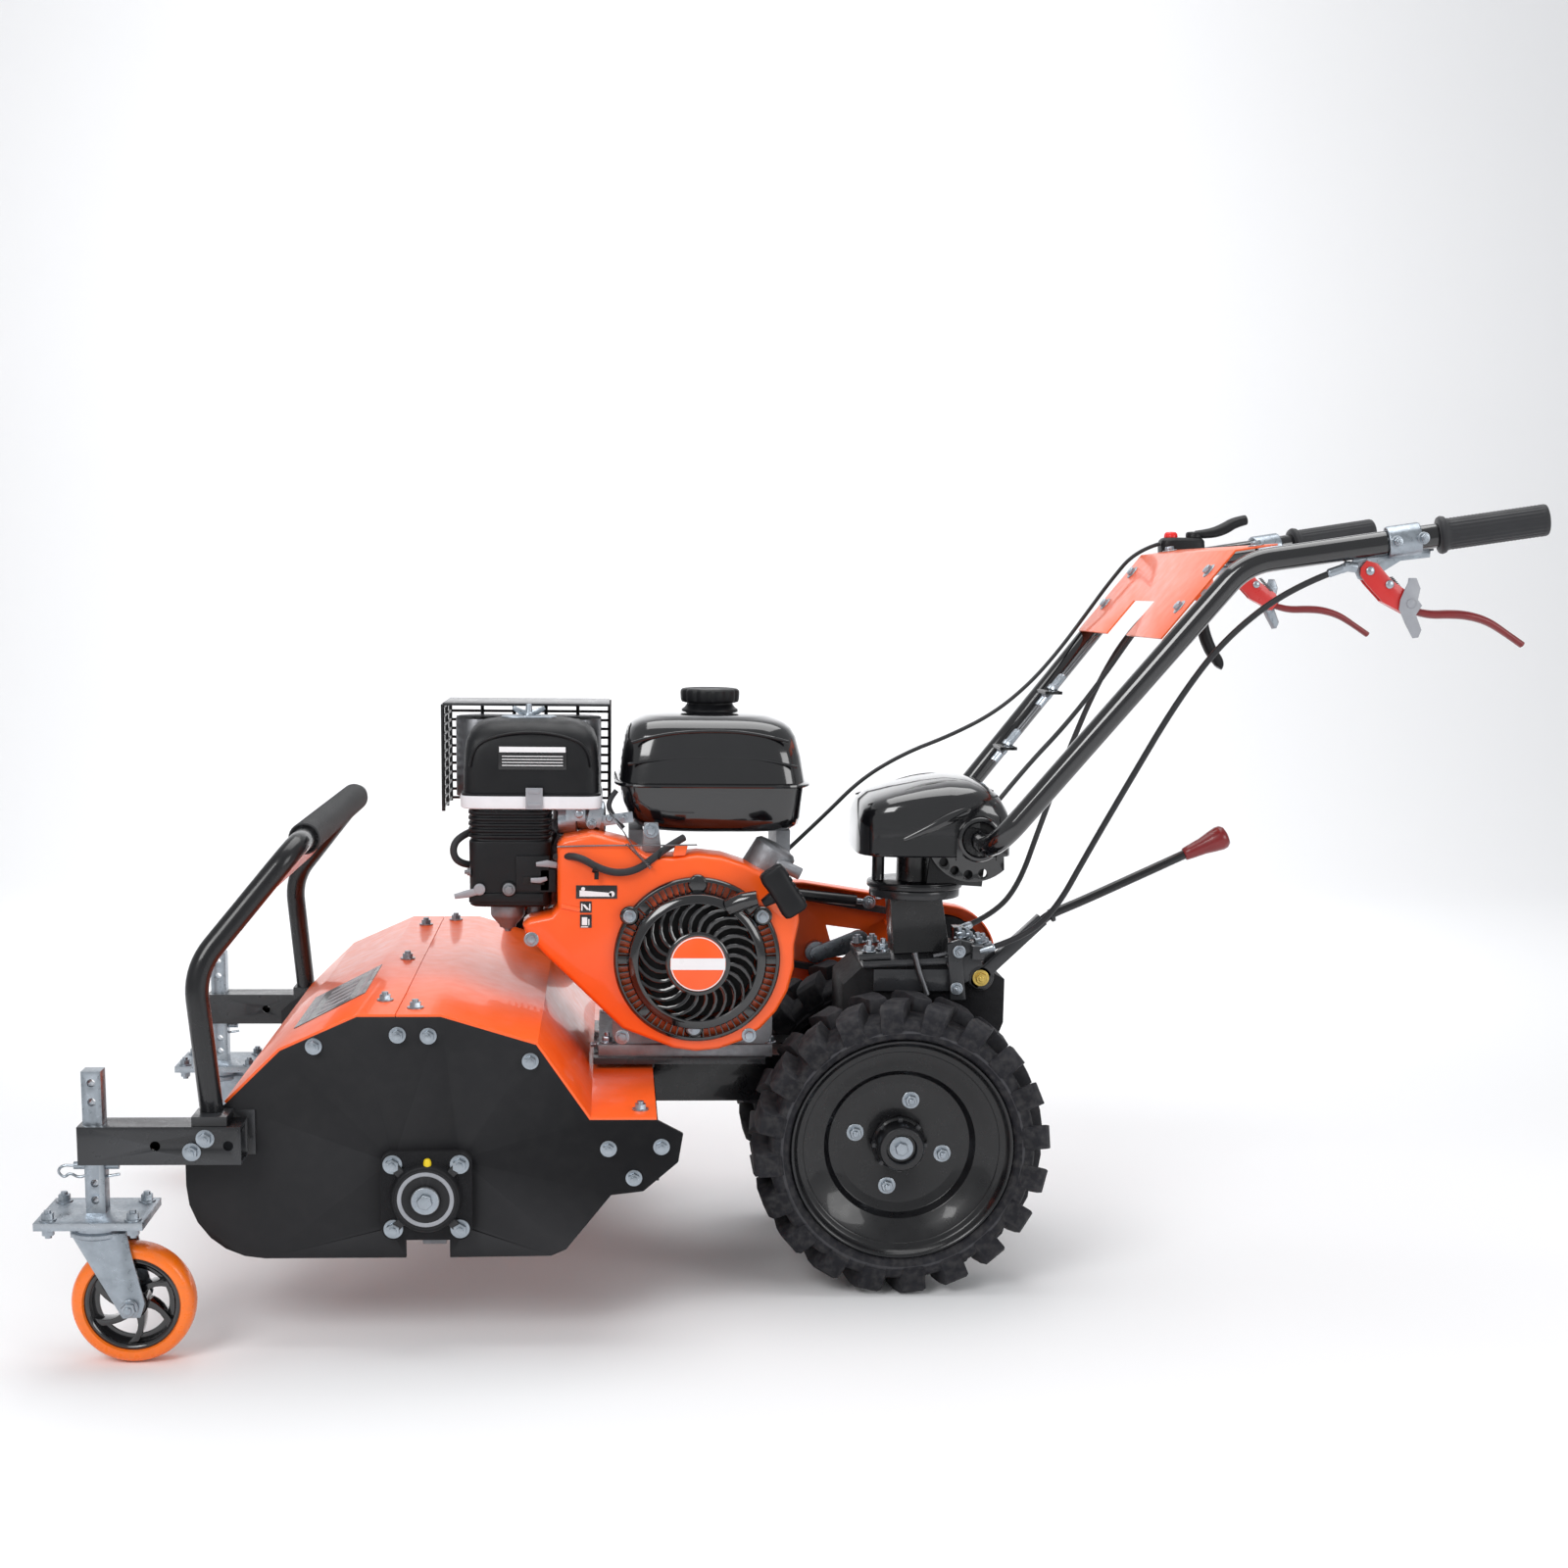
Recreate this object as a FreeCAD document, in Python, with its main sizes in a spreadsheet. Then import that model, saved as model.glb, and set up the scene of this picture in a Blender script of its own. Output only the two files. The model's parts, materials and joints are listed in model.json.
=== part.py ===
"""Walk-behind two-wheel tractor with a front flail mower deck, millimetres.

The frame is +Z up with the ground at Z = 0. The machine drives towards -X, the
operator stands at +X, and -Y is the side with the recoil starter (called left).
"""

import FreeCAD, Part
import Sketcher
import math
import os
import re

from FreeCAD import Placement, Rotation, Vector

# ---------------------------------------------------------------- driving sizes
SIZES = {
    # drive wheels and gearbox
    "axle_x": 130.0,
    "tyre_radius": 173.0,
    "lug_height": 20.0,
    "tyre_width": 96.0,
    "wheel_y": 123.0,
    "rim_radius": 128.0,
    "hub_radius": 24.0,
    "stub_radius": 15.0,
    "wheel_bolt_circle": 105.0,
    "gearbox_half": 58.0,
    # rotor, its bearings and the deck
    "rotor_x": -397.0,
    "rotor_z": 172.0,
    "rotor_shaft_radius": 12.5,
    "rotor_tube_radius": 38.0,
    "flail_tip_radius": 82.0,
    "bearing_square": 95.0,
    "bearing_spacing": 70.0,
    "deck_half": 317.0,
    "plate_thickness": 5.0,
    "plate_hole": 5.2,
    "cover_thickness": 3.0,
    "web_thickness": 3.0,
    # casters and their arms
    "arm_size": 40.0,
    "arm_wall": 3.0,
    "arm_hole": 5.25,
    "arm_z": 236.0,
    "arm_front": -749.0,
    "arm_rear": -583.0,
    "stem_x": -735.0,
    "stem_size": 20.0,
    "stem_top": 312.0,
    "caster_plate_top": 162.0,
    "caster_plate_length": 110.0,
    "caster_plate_width": 90.0,
    "caster_radius": 64.0,
    "caster_width": 32.0,
    "caster_trail": 34.0,
    # front guard
    "guard_tube": 12.0,
    "guard_foot_x": -617.0,
    # engine
    "crank_x": -107.0,
    "crank_z": 393.0,
    "crank_radius": 12.7,
    "engine_base_z": 268.0,
    "shroud_radius": 106.0,
    "tank_length": 225.0,
    "tank_depth": 226.0,
    "tank_z": 587.0,
    "cap_radius": 35.0,
    # belt drives
    "travel_belt_y": 188.0,
    "input_x": 228.0,
    "input_z": 338.0,
    "input_radius": 10.0,
    "counter_x": -262.0,
    "counter_z": 366.0,
    "counter_radius": 10.0,
    "primary_belt_y": 212.0,
    "small_pulley": 30.0,
    "large_pulley": 46.0,
    # handle head and bars
    "swivel_x": 160.0,
    "swivel_z": 455.0,
    "swivel_pin_radius": 14.0,
    "tilt_x": 222.0,
    "tilt_z": 522.0,
    "bar_radius": 13.0,
    "bar_wall": 2.0,
    "bar_low_y": 176.0,
    "bar_bend_x": 478.0,
    "bar_bend_y": 213.0,
    "bar_bend_z": 838.0,
    "bar_end_x": 785.0,
    "bar_end_y": 255.0,
    "bar_end_z": 886.0,
    "grip_length": 112.0,
    "grip_radius": 16.5,
    "quadrant_radius": 47.0,
    # clearances
    "running": 0.05,
    "gap": 0.4,
}

doc = FreeCAD.newDocument("FlailMower")
sheet = doc.addObject("Spreadsheet::Sheet", "params")
for row, (alias, value) in enumerate(SIZES.items(), 1):
    sheet.set(f"A{row}", str(value))
    sheet.setAlias(f"A{row}", alias)
doc.recompute()


class Read:
    """Gives a size from the sheet as a number, and the places that follow from the sizes."""

    def __getattr__(self, alias):
        return float(sheet.get(alias))

    @property
    def axle_z(self):
        return self.tyre_radius

    @property
    def plate_face(self):
        return self.deck_half + self.plate_thickness

    @property
    def arm_y(self):
        return self.plate_face + self.web_thickness + self.arm_size / 2

    @property
    def rotor_belt_y(self):
        return self.plate_face + 38


# the same places as formulas for bound sizes
AXLE_Z = "tyre_radius"
ARM_Y = "(deck_half + plate_thickness + web_thickness + arm_size / 2)"

s = Read()
subparts = {}

ALONG_X = Rotation(Vector(0, 1, 0), 90)
ALONG_Y = Rotation(Vector(1, 0, 0), -90)
ALONG_Z = Rotation()
AXES = {"x": (ALONG_X, Vector(1, 0, 0)), "y": (ALONG_Y, Vector(0, 1, 0)), "z": (ALONG_Z, Vector(0, 0, 1))}
LEFT_RIGHT = (("left", -1), ("right", 1))


# ---------------------------------------------------------------- parametric pieces
def bound(formula):
    """Points every size name in a formula at the sheet."""
    return re.sub(r"[a-z]\w*", lambda word: "params." + word.group(), str(formula))


def primitive(kind, base, turn, **sizes):
    piece = doc.addObject("Part::" + kind, kind.lower())
    for size, formula in sizes.items():
        piece.setExpression(size, bound(formula))
    piece.Placement = Placement(Vector(), turn)
    for axis, formula in zip("xyz", base):
        piece.setExpression("Placement.Base." + axis, bound(formula))
    return piece


def block(centre, size):
    base = [f"({c}) - ({length}) / 2" for c, length in zip(centre, size)]
    return primitive("Box", base, ALONG_Z, Length=size[0], Width=size[1], Height=size[2])


def rod(centre, radius, length, axis):
    base = [f"({c}) - ({length}) / 2" if a == axis else c for a, c in zip("xyz", centre)]
    return primitive("Cylinder", base, AXES[axis][0], Radius=radius, Height=length)


def fuse(*pieces):
    joined = doc.addObject("Part::MultiFuse", "fuse")
    joined.Shapes = list(pieces)
    return joined


def cut(base, *tools):
    result = doc.addObject("Part::Cut", "cut")
    result.Base = base
    result.Tool = tools[0] if len(tools) == 1 else fuse(*tools)
    return result


def tube(centre, outer, inner, length, axis):
    return cut(rod(centre, outer, length, axis), rod(centre, inner, f"({length}) + 2", axis))


def group(*pieces):
    """Separate solids kept in one sub-part."""
    joined = doc.addObject("Part::Compound", "group")
    joined.Links = list(pieces)
    return joined


def feature(shape):
    piece = doc.addObject("Part::Feature", "piece")
    piece.Shape = shape
    return piece


def subpart(node, piece):
    piece.Label = node
    subparts[node] = piece
    return piece


# ---------------------------------------------------------------- Part shapes
def at(x, y, z):
    return Vector(x, y, z)


def cylinder(centre, radius, length, axis):
    direction = AXES[axis][1] if isinstance(axis, str) else axis.normalize()
    return Part.makeCylinder(radius, length, centre - direction * (length / 2), direction)


def cuboid(centre, size):
    corner = centre - Vector(*size) / 2
    return Part.makeBox(size[0], size[1], size[2], corner)


def around(origin, offsets):
    """Outline points given from a point of the machine."""
    return [(origin[0] + x, origin[1] + z) for x, z in offsets]


def prism(outline, y_low, y_high):
    """An outline of (x, z) points extruded along Y."""
    points = [Vector(x, y_low, z) for x, z in outline]
    return Part.Face(Part.makePolygon(points + points[:1])).extrude(Vector(0, y_high - y_low, 0))


def join(shapes):
    return shapes[0].multiFuse(shapes[1:]).removeSplitter()



def rounded_box(centre, size, radius):
    """A box with its four upright edges rounded."""
    box = cuboid(centre, size)
    edges = [e for e in box.Edges if abs(e.tangentAt(0).z) > 0.9]
    return box.makeFillet(radius, edges)


def swept(points, radii, section):
    """A round bar along straight runs joined by tangent arcs, one radius for each inner point."""
    edges = []
    start = points[0]
    for corner, after, radius in zip(points[1:-1], points[2:], radii):
        into = (corner - start).normalize()
        out = (after - corner).normalize()
        half_turn = into.getAngle(out) / 2
        back = radius * math.tan(half_turn)
        first, last = corner - into * back, corner + out * back
        bisector = (out - into).normalize()
        middle = corner + bisector * (radius / math.cos(half_turn) - radius)
        edges.append(Part.LineSegment(start, first).toShape())
        edges.append(Part.Arc(first, middle, last).toShape())
        start = last
    edges.append(Part.LineSegment(start, points[-1]).toShape())
    path = Part.Wire(edges)
    ring = Part.Wire(Part.makeCircle(section, points[0], points[1] - points[0]))
    return path, path.makePipeShell([ring], True, True)


def hull_of_circles(low, low_radius, high, high_radius, y_low, y_high):
    """The outline that a belt makes round two circles, as one solid along Y."""
    gap = Vector(high[0] - low[0], 0, high[1] - low[1])
    angle = math.asin((low_radius - high_radius) / gap.Length)
    along = math.atan2(gap.z, gap.x)
    corners = []
    for sign in (1, -1):
        turn = along + sign * (math.pi / 2 - angle)
        way = Vector(math.cos(turn), 0, math.sin(turn))
        corners.append((low[0] + way.x * low_radius, low[1] + way.z * low_radius))
        corners.append((high[0] + way.x * high_radius, high[1] + way.z * high_radius))
    middle = prism([corners[0], corners[1], corners[3], corners[2]], y_low, y_high)
    length = y_high - y_low
    y_middle = (y_low + y_high) / 2
    ends = [
        cylinder(at(low[0], y_middle, low[1]), low_radius, length, "y"),
        cylinder(at(high[0], y_middle, high[1]), high_radius, length, "y"),
    ]
    return join([middle] + ends)


def belt_loop(low, low_radius, high, high_radius, y_middle, width, thickness):
    outer = hull_of_circles(low, low_radius + thickness, high, high_radius + thickness,
                            y_middle - width / 2, y_middle + width / 2)
    inner = hull_of_circles(low, low_radius, high, high_radius, y_middle - width, y_middle + width)
    return outer.cut(inner)


def offset_outline(points, distance):
    """Moves an open outline to its left by a distance, keeping its corners sharp."""
    moved = []
    for i, (x, z) in enumerate(points):
        ways = []
        for a, b in ((i - 1, i), (i, i + 1)):
            if 0 <= a and b < len(points):
                way = Vector(points[b][0] - points[a][0], points[b][1] - points[a][1], 0).normalize()
                ways.append(Vector(-way.y, way.x, 0))
        normal = (ways[0] + ways[-1]).normalize()
        reach = distance / normal.dot(ways[0])
        moved.append((x + normal.x * reach, z + normal.y * reach))
    return moved


def folded_sheet(outline, thickness, y_low, y_high):
    return prism(outline + offset_outline(outline, thickness)[::-1], y_low, y_high)


def bolt_head(centre, outward, radius=6.5, height=6.0):
    """Washer and hexagon head that stand on a face, the washer first."""
    way = outward.normalize()
    washer = Part.makeCylinder(radius * 1.35, 1.6, centre, way)
    side = way.cross(Vector(1, 0, 0))
    if side.Length < 0.5:
        side = way.cross(Vector(0, 0, 1))
    side.normalize()
    corners = [centre + way * 1.6 + Rotation(way, 60 * i).multVec(side) * radius for i in range(7)]
    head = Part.Face(Part.makePolygon(corners)).extrude(way * height)
    tip = Part.makeCylinder(radius * 0.55, 3.0, centre + way * (1.6 + height), way)
    return join([washer, head, tip])


# ---------------------------------------------------------------- PartDesign helpers
def plane_of(body, role):
    return [f for f in body.Origin.OriginFeatures if f.Role == role][0]


def sketch_on(body, role):
    sketch = body.newObject("Sketcher::SketchObject", "sketch")
    sketch.AttachmentSupport = (plane_of(body, role), "")
    sketch.MapMode = "FlatFace"
    return sketch


def closed_lines(sketch, points):
    for (x0, y0), (x1, y1) in zip(points, points[1:] + points[:1]):
        sketch.addGeometry(Part.LineSegment(Vector(x0, y0, 0), Vector(x1, y1, 0)), False)


def disc(sketch, centre, size):
    """A circle whose radius is bound to a size."""
    radius = float(sheet.get(size))
    index = sketch.addGeometry(Part.Circle(Vector(centre[0], centre[1], 0), Vector(0, 0, 1), radius),
                               False)
    number = sketch.addConstraint(Sketcher.Constraint("Radius", index, radius))
    sketch.setExpression(f"Constraints[{number}]", bound(size))


def padded_plate(outline, holes, hole_size, thickness, y_face):
    """A flat plate in an XZ plane with through holes, as a Pad and a Pocket."""
    body = doc.addObject("PartDesign::Body", "plate")
    profile = sketch_on(body, "XZ_Plane")
    closed_lines(profile, outline)
    pad = body.newObject("PartDesign::Pad", "pad")
    pad.Profile = profile
    pad.setExpression("Length", bound(thickness))
    doc.recompute()
    drilled = sketch_on(body, "XZ_Plane")
    for centre in holes:
        disc(drilled, centre, hole_size)
    pocket = body.newObject("PartDesign::Pocket", "pocket")
    pocket.Profile = drilled
    pocket.Type = "ThroughAll"
    pocket.Midplane = True
    body.Tip = pocket
    body.setExpression("Placement.Base.y", bound(y_face))
    doc.recompute()
    return body


def turned(profile_points, centre):
    """A solid turned about an axis along Y, from (radius, y) points, as a Revolution."""
    body = doc.addObject("PartDesign::Body", "turned")
    profile = sketch_on(body, "XY_Plane")
    closed_lines(profile, profile_points)
    revolution = body.newObject("PartDesign::Revolution", "revolution")
    revolution.Profile = profile
    revolution.ReferenceAxis = (plane_of(body, "Y_Axis"), [""])
    revolution.Angle = 360
    body.Tip = revolution
    for axis, formula in zip("xyz", centre):
        body.setExpression("Placement.Base." + axis, bound(formula))
    doc.recompute()
    return body


# ---------------------------------------------------------------- mower deck
DECK_TOP_LINE = [(-605, 270), (-548, 326), (-468, 362), (-381, 362), (-282, 332), (-226, 251),
                 (-155, 251)]
REAR_LOBE = [(-127, 236), (-132, 205), (-169, 173), (-203, 169), (-251, 109), (-267, 102)]
SLOT_HALF = 23.0
SLOT_CORNER = 10.0
SLOT_ROOM = 5.5
DECK_BOTTOM = 101.0


def side_plate_outline():
    """The deck's side, with a slot up to the rotor shaft and a round lower front corner."""
    points = [(-649, 235)] + DECK_TOP_LINE + REAR_LOBE
    slot_top = s.rotor_z + s.rotor_shaft_radius + SLOT_ROOM
    for side in (1, -1):
        slot = [(s.rotor_x + side * SLOT_HALF, DECK_BOTTOM),
                (s.rotor_x + side * SLOT_HALF, slot_top - SLOT_CORNER),
                (s.rotor_x + side * (SLOT_HALF - SLOT_CORNER), slot_top)]
        points += slot[::side]
    radius = 80.0
    centre = (-649 + radius, DECK_BOTTOM + radius)
    for step in range(7):
        angle = math.radians(270 - 15 * step)
        points.append((centre[0] + radius * math.cos(angle), centre[1] + radius * math.sin(angle)))
    return points


def bearing_bolts():
    half = s.bearing_spacing / 2
    return [(s.rotor_x + a * half, s.rotor_z + b * half) for a in (-1, 1) for b in (-1, 1)]


EAR_BOLT = (-288, 315)
EAR_THICKNESS = 8.0
SIDE_BOLTS = [(-513, 331), (-426, 343), (-394, 342), EAR_BOLT, (-206, 220), (-150, 222), (-179, 188)]


def side_plates():
    outline = side_plate_outline()
    left = padded_plate(outline, bearing_bolts(), "plate_hole", "plate_thickness", "0 - deck_half")
    right = padded_plate(outline, bearing_bolts(), "plate_hole", "plate_thickness",
                         "deck_half + plate_thickness")
    subpart("side_plates", group(left, right))


def deck_covers():
    reach = s.plate_face
    lap = -428.0
    front_line = DECK_TOP_LINE[:3] + [(lap, 362)]
    rear_line = [(lap + s.gap, 362)] + DECK_TOP_LINE[3:]
    front = folded_sheet(front_line, s.cover_thickness, -reach, reach)
    rear = folded_sheet(rear_line, s.cover_thickness, -reach, reach)
    subpart("deck_cover_front", feature(front))
    subpart("deck_cover_rear", feature(rear))


def bearing_housings():
    """Square flange bearings of the rotor, and the counter shaft's tube on the right plate."""
    solids = []
    outer = s.plate_face
    flange_thickness = 12
    boss_length = 24
    for side in (-1, 1):
        flange_y = side * (outer + flange_thickness / 2)
        flange = cuboid(at(s.rotor_x, flange_y, s.rotor_z),
                        (s.bearing_square, flange_thickness, s.bearing_square))
        corners = [e for e in flange.Edges if abs(e.tangentAt(0).y) > 0.9]
        flange = flange.makeFillet(12, corners)
        boss = cylinder(at(s.rotor_x, side * (outer + boss_length / 2), s.rotor_z), 34, boss_length, "y")
        bore = cylinder(at(s.rotor_x, side * outer, s.rotor_z), s.rotor_shaft_radius + s.running, 80, "y")
        solids.append(join([flange, boss]).cut(bore))
    length = outer - s.primary_belt_y - 16
    middle = at(s.counter_x, outer - length / 2 + 8, s.counter_z)
    housing = cylinder(middle, 21, length, "y")
    ear = hull_of_circles((s.counter_x, s.counter_z), 36, (-310, 300), 36, outer, outer + EAR_THICKNESS)
    bore = cylinder(middle, s.counter_radius + s.running, length + 30, "y")
    solids.append(join([housing, ear]).cut(bore).cut(deck_side_clearance()))
    subpart("bearing_housings", feature(Part.makeCompound(solids)))


def deck_side_clearance():
    """The space of the right side plate and the covers, cut from what is bolted outside them."""
    reach = s.plate_face
    covers = folded_sheet(DECK_TOP_LINE, s.cover_thickness + s.gap, -reach, reach)
    return join([covers, prism(side_plate_outline(), s.deck_half - s.gap, reach)])


def rotor():
    """Shaft, tube with end discs, pulley and the hanging flails."""
    half = s.deck_half - 8
    shaft = rod(("rotor_x", "11", "rotor_z"), "rotor_shaft_radius", "2 * deck_half + 92", "y")
    drum = rod(("rotor_x", "0", "rotor_z"), "rotor_tube_radius", "2 * deck_half - 16", "y")
    discs = [
        rod(("rotor_x", f"{side} * (deck_half - 14)", "rotor_z"), "rotor_tube_radius + 18", "8", "y")
        for side in (-1, 1)
    ]
    washer = rod(("rotor_x", "0 - deck_half - plate_thickness - 26 - gap", "rotor_z"), "15", "4", "y")
    pulley = pulley_shape(at(s.rotor_x, s.rotor_belt_y, s.rotor_z), s.large_pulley, 22)
    subpart("rotor_shaft", fuse(shaft, drum, washer, *discs, feature(pulley)))
    flails = []
    count = 12
    for i in range(count):
        y = -half + 34 + i * (2 * half - 68) / (count - 1)
        angle = 90 * i
        flails.append(flail(y, angle))
        flails.append(flail(y, angle + 180))
    subpart("flail_blades", feature(Part.makeCompound(flails)))


def flail(y, angle):
    """A pair of lugs' pin with a Y-shaped blade, standing out from the drum at an angle."""
    root = s.rotor_tube_radius
    tip = s.flail_tip_radius
    lug = cuboid(at(root + 9, 0, 0), (18, 14, 16))
    blade = cuboid(at((root + 18 + tip) / 2, 0, 0), (tip - root - 18, 6, 26))
    wing = cuboid(at(tip - 4, 0, 0), (8, 34, 26))
    shape = join([lug, blade, wing])
    skin = cylinder(at(0, 0, 0), root, 60, "y")
    shape = shape.cut(skin)
    shape.rotate(Vector(), Vector(0, 1, 0), angle)
    shape.translate(at(s.rotor_x, y, s.rotor_z))
    return shape


def pulley_shape(centre, radius, width):
    """A V-belt pulley: a disc with one groove."""
    wheel = cylinder(centre, radius + 5, width, "y")
    groove = cylinder(centre, radius + 6, 13, "y").cut(cylinder(centre, radius - 6, 13, "y"))
    return wheel.cut(groove)


def counter_shaft():
    """The shaft that carries the drive from the engine's belt to the rotor's belt."""
    low = s.primary_belt_y - 16
    high = s.rotor_belt_y + 14
    shaft = cylinder(at(s.counter_x, (low + high) / 2, s.counter_z), s.counter_radius, high - low, "y")
    first = pulley_shape(at(s.counter_x, s.primary_belt_y, s.counter_z), s.small_pulley, 20)
    second = pulley_shape(at(s.counter_x, s.rotor_belt_y, s.counter_z), s.large_pulley, 22)
    subpart("counter_shaft", feature(join([shaft, first, second])))


def drive_belts():
    """Travel belt, primary mower belt and rotor belt, each clear of its pulleys' grooves."""
    clear = s.gap
    small, large = s.small_pulley - 6 + clear, s.large_pulley - 6 + clear
    crank = (s.crank_x, s.crank_z)
    counter = (s.counter_x, s.counter_z)
    rotor_centre = (s.rotor_x, s.rotor_z)
    gear_input = (s.input_x, s.input_z)
    belts = [
        belt_loop(crank, large, gear_input, large, s.travel_belt_y, 11, 8),
        belt_loop(counter, small, crank, large, s.primary_belt_y, 11, 8),
        belt_loop(rotor_centre, large, counter, large, s.rotor_belt_y, 11, 8),
    ]
    subpart("drive_belts", feature(Part.makeCompound(belts)))


def side_belt_guard():
    """A pressed cover over the rotor belt, open towards the plate."""
    inner_y = s.plate_face + s.gap
    outer_y = s.rotor_belt_y + 16
    rotor_centre = (s.rotor_x, s.rotor_z)
    counter = (s.counter_x, s.counter_z)
    skin = hull_of_circles(rotor_centre, 68, counter, 62, inner_y, outer_y)
    hollow = hull_of_circles(rotor_centre, 66, counter, 60, inner_y - 2, outer_y - 2)
    window = cylinder(at(s.rotor_x, outer_y, s.rotor_z), 14, 20, "y")
    subpart("side_belt_guard", feature(skin.cut(hollow).cut(window)))


def chassis_beam():
    """Two-rail beam from the deck's cross tube to the gearbox, with the engine's bed plate."""
    bed = block(("crank_x - 17", "0", "engine_base_z - 4"), ("200", "208", "8"))
    beam = block(("(axle_x - 60 - 152) / 2", "0", "engine_base_z - 36"),
                 ("axle_x - 60 + 152", "110", "56"))
    cross = block(("0 - 176", "0", "207"), ("48", "2 * deck_half - 1", "48"))
    neck = block(("0 - 165", "0", "235"), ("60", "110", "12"))
    subpart("chassis_beam", fuse(bed, beam, cross, neck))


def caster_arms():
    """Square tubes beside the plates, each with a saddle bracket and a sleeve for the stem."""
    middle_x = "(arm_front + arm_rear) / 2"
    length = "arm_rear - arm_front"
    arms = []
    for side in (-1, 1):
        y = f"{side} * {ARM_Y}"
        shell = block((middle_x, y, "arm_z"), (length, "arm_size", "arm_size"))
        hollow = block((middle_x, y, "arm_z"),
                       (f"({length}) + 2", "arm_size - 2 * arm_wall", "arm_size - 2 * arm_wall"))
        sleeve = block(("stem_x", y, "arm_z"), ("stem_size + 8", "arm_size - 2 * arm_wall", "arm_size"))
        well = block(("stem_x", y, "arm_z"),
                     ("stem_size + 2 * gap", "stem_size + 2 * gap", "arm_size + 4"))
        holes = [rod((x, y, "arm_z"), "arm_hole", "arm_size + 4", "y")
                 for x in ("stem_x + 65", "stem_x + 139")]
        bracket = block(("guard_foot_x + 2", f"{side} * ({ARM_Y} - 1)", "arm_z + arm_size / 2 + 5"),
                        ("36", "arm_size - 2", "10"))
        web = block(("guard_foot_x + 14", f"{side} * (deck_half + plate_thickness + web_thickness / 2)",
                     "arm_z + 4"),
                    ("56", "web_thickness", "48"))
        arms.append(cut(fuse(cut(shell, hollow), sleeve, bracket, web), well, *holes))
    subpart("caster_arms", group(*arms))


def guard_bar():
    """The bent tube in front of the deck; its feet stand on the arms' brackets."""
    foot_z = s.arm_z + s.arm_size / 2 + 10
    foot = at(s.guard_foot_x, -s.arm_y + 10, foot_z - 3)
    knee = at(s.guard_foot_x - 14, -s.arm_y + 8, foot_z + 148)
    top = at(s.guard_foot_x + 84, -s.arm_y + 62, foot_z + 270)
    points = [foot, knee, top, at(top.x, -top.y, top.z), at(knee.x, -knee.y, knee.z),
              at(foot.x, -foot.y, foot.z)]
    path, outer = swept(points, [70, 40, 40, 70], s.guard_tube)
    bore = swept(points, [70, 40, 40, 70], s.guard_tube - 2)[1]
    print("guard tube volume ratio", round(outer.Volume / (path.Length * math.pi * s.guard_tube ** 2), 4))
    sleeve = cylinder(at(top.x, 0, top.z), s.guard_tube + 4, 440, "y")
    sleeve = sleeve.cut(cylinder(at(top.x, 0, top.z), s.guard_tube, 460, "y"))
    floor = cuboid(at(s.guard_foot_x, 0, foot_z - 10), (80, 2 * s.arm_y + 80, 20))
    subpart("guard_bar", feature(Part.makeCompound([outer.cut(bore).cut(floor), sleeve])))
    corners = []
    for share, side in ((0.3, -1), (0.8, -1), (0.8, 1), (0.3, 1)):
        spot = knee + (top - knee) * share
        corners.append(at(spot.x, side * (abs(spot.y) - s.guard_tube - 1.5), spot.z))
    plate = Part.Face(Part.makePolygon(corners + corners[:1]))
    normal = plate.normalAt(0, 0)
    plate.translate(normal * -1.5)
    subpart("guard_plate", feature(plate.extrude(normal * 3)))


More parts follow.
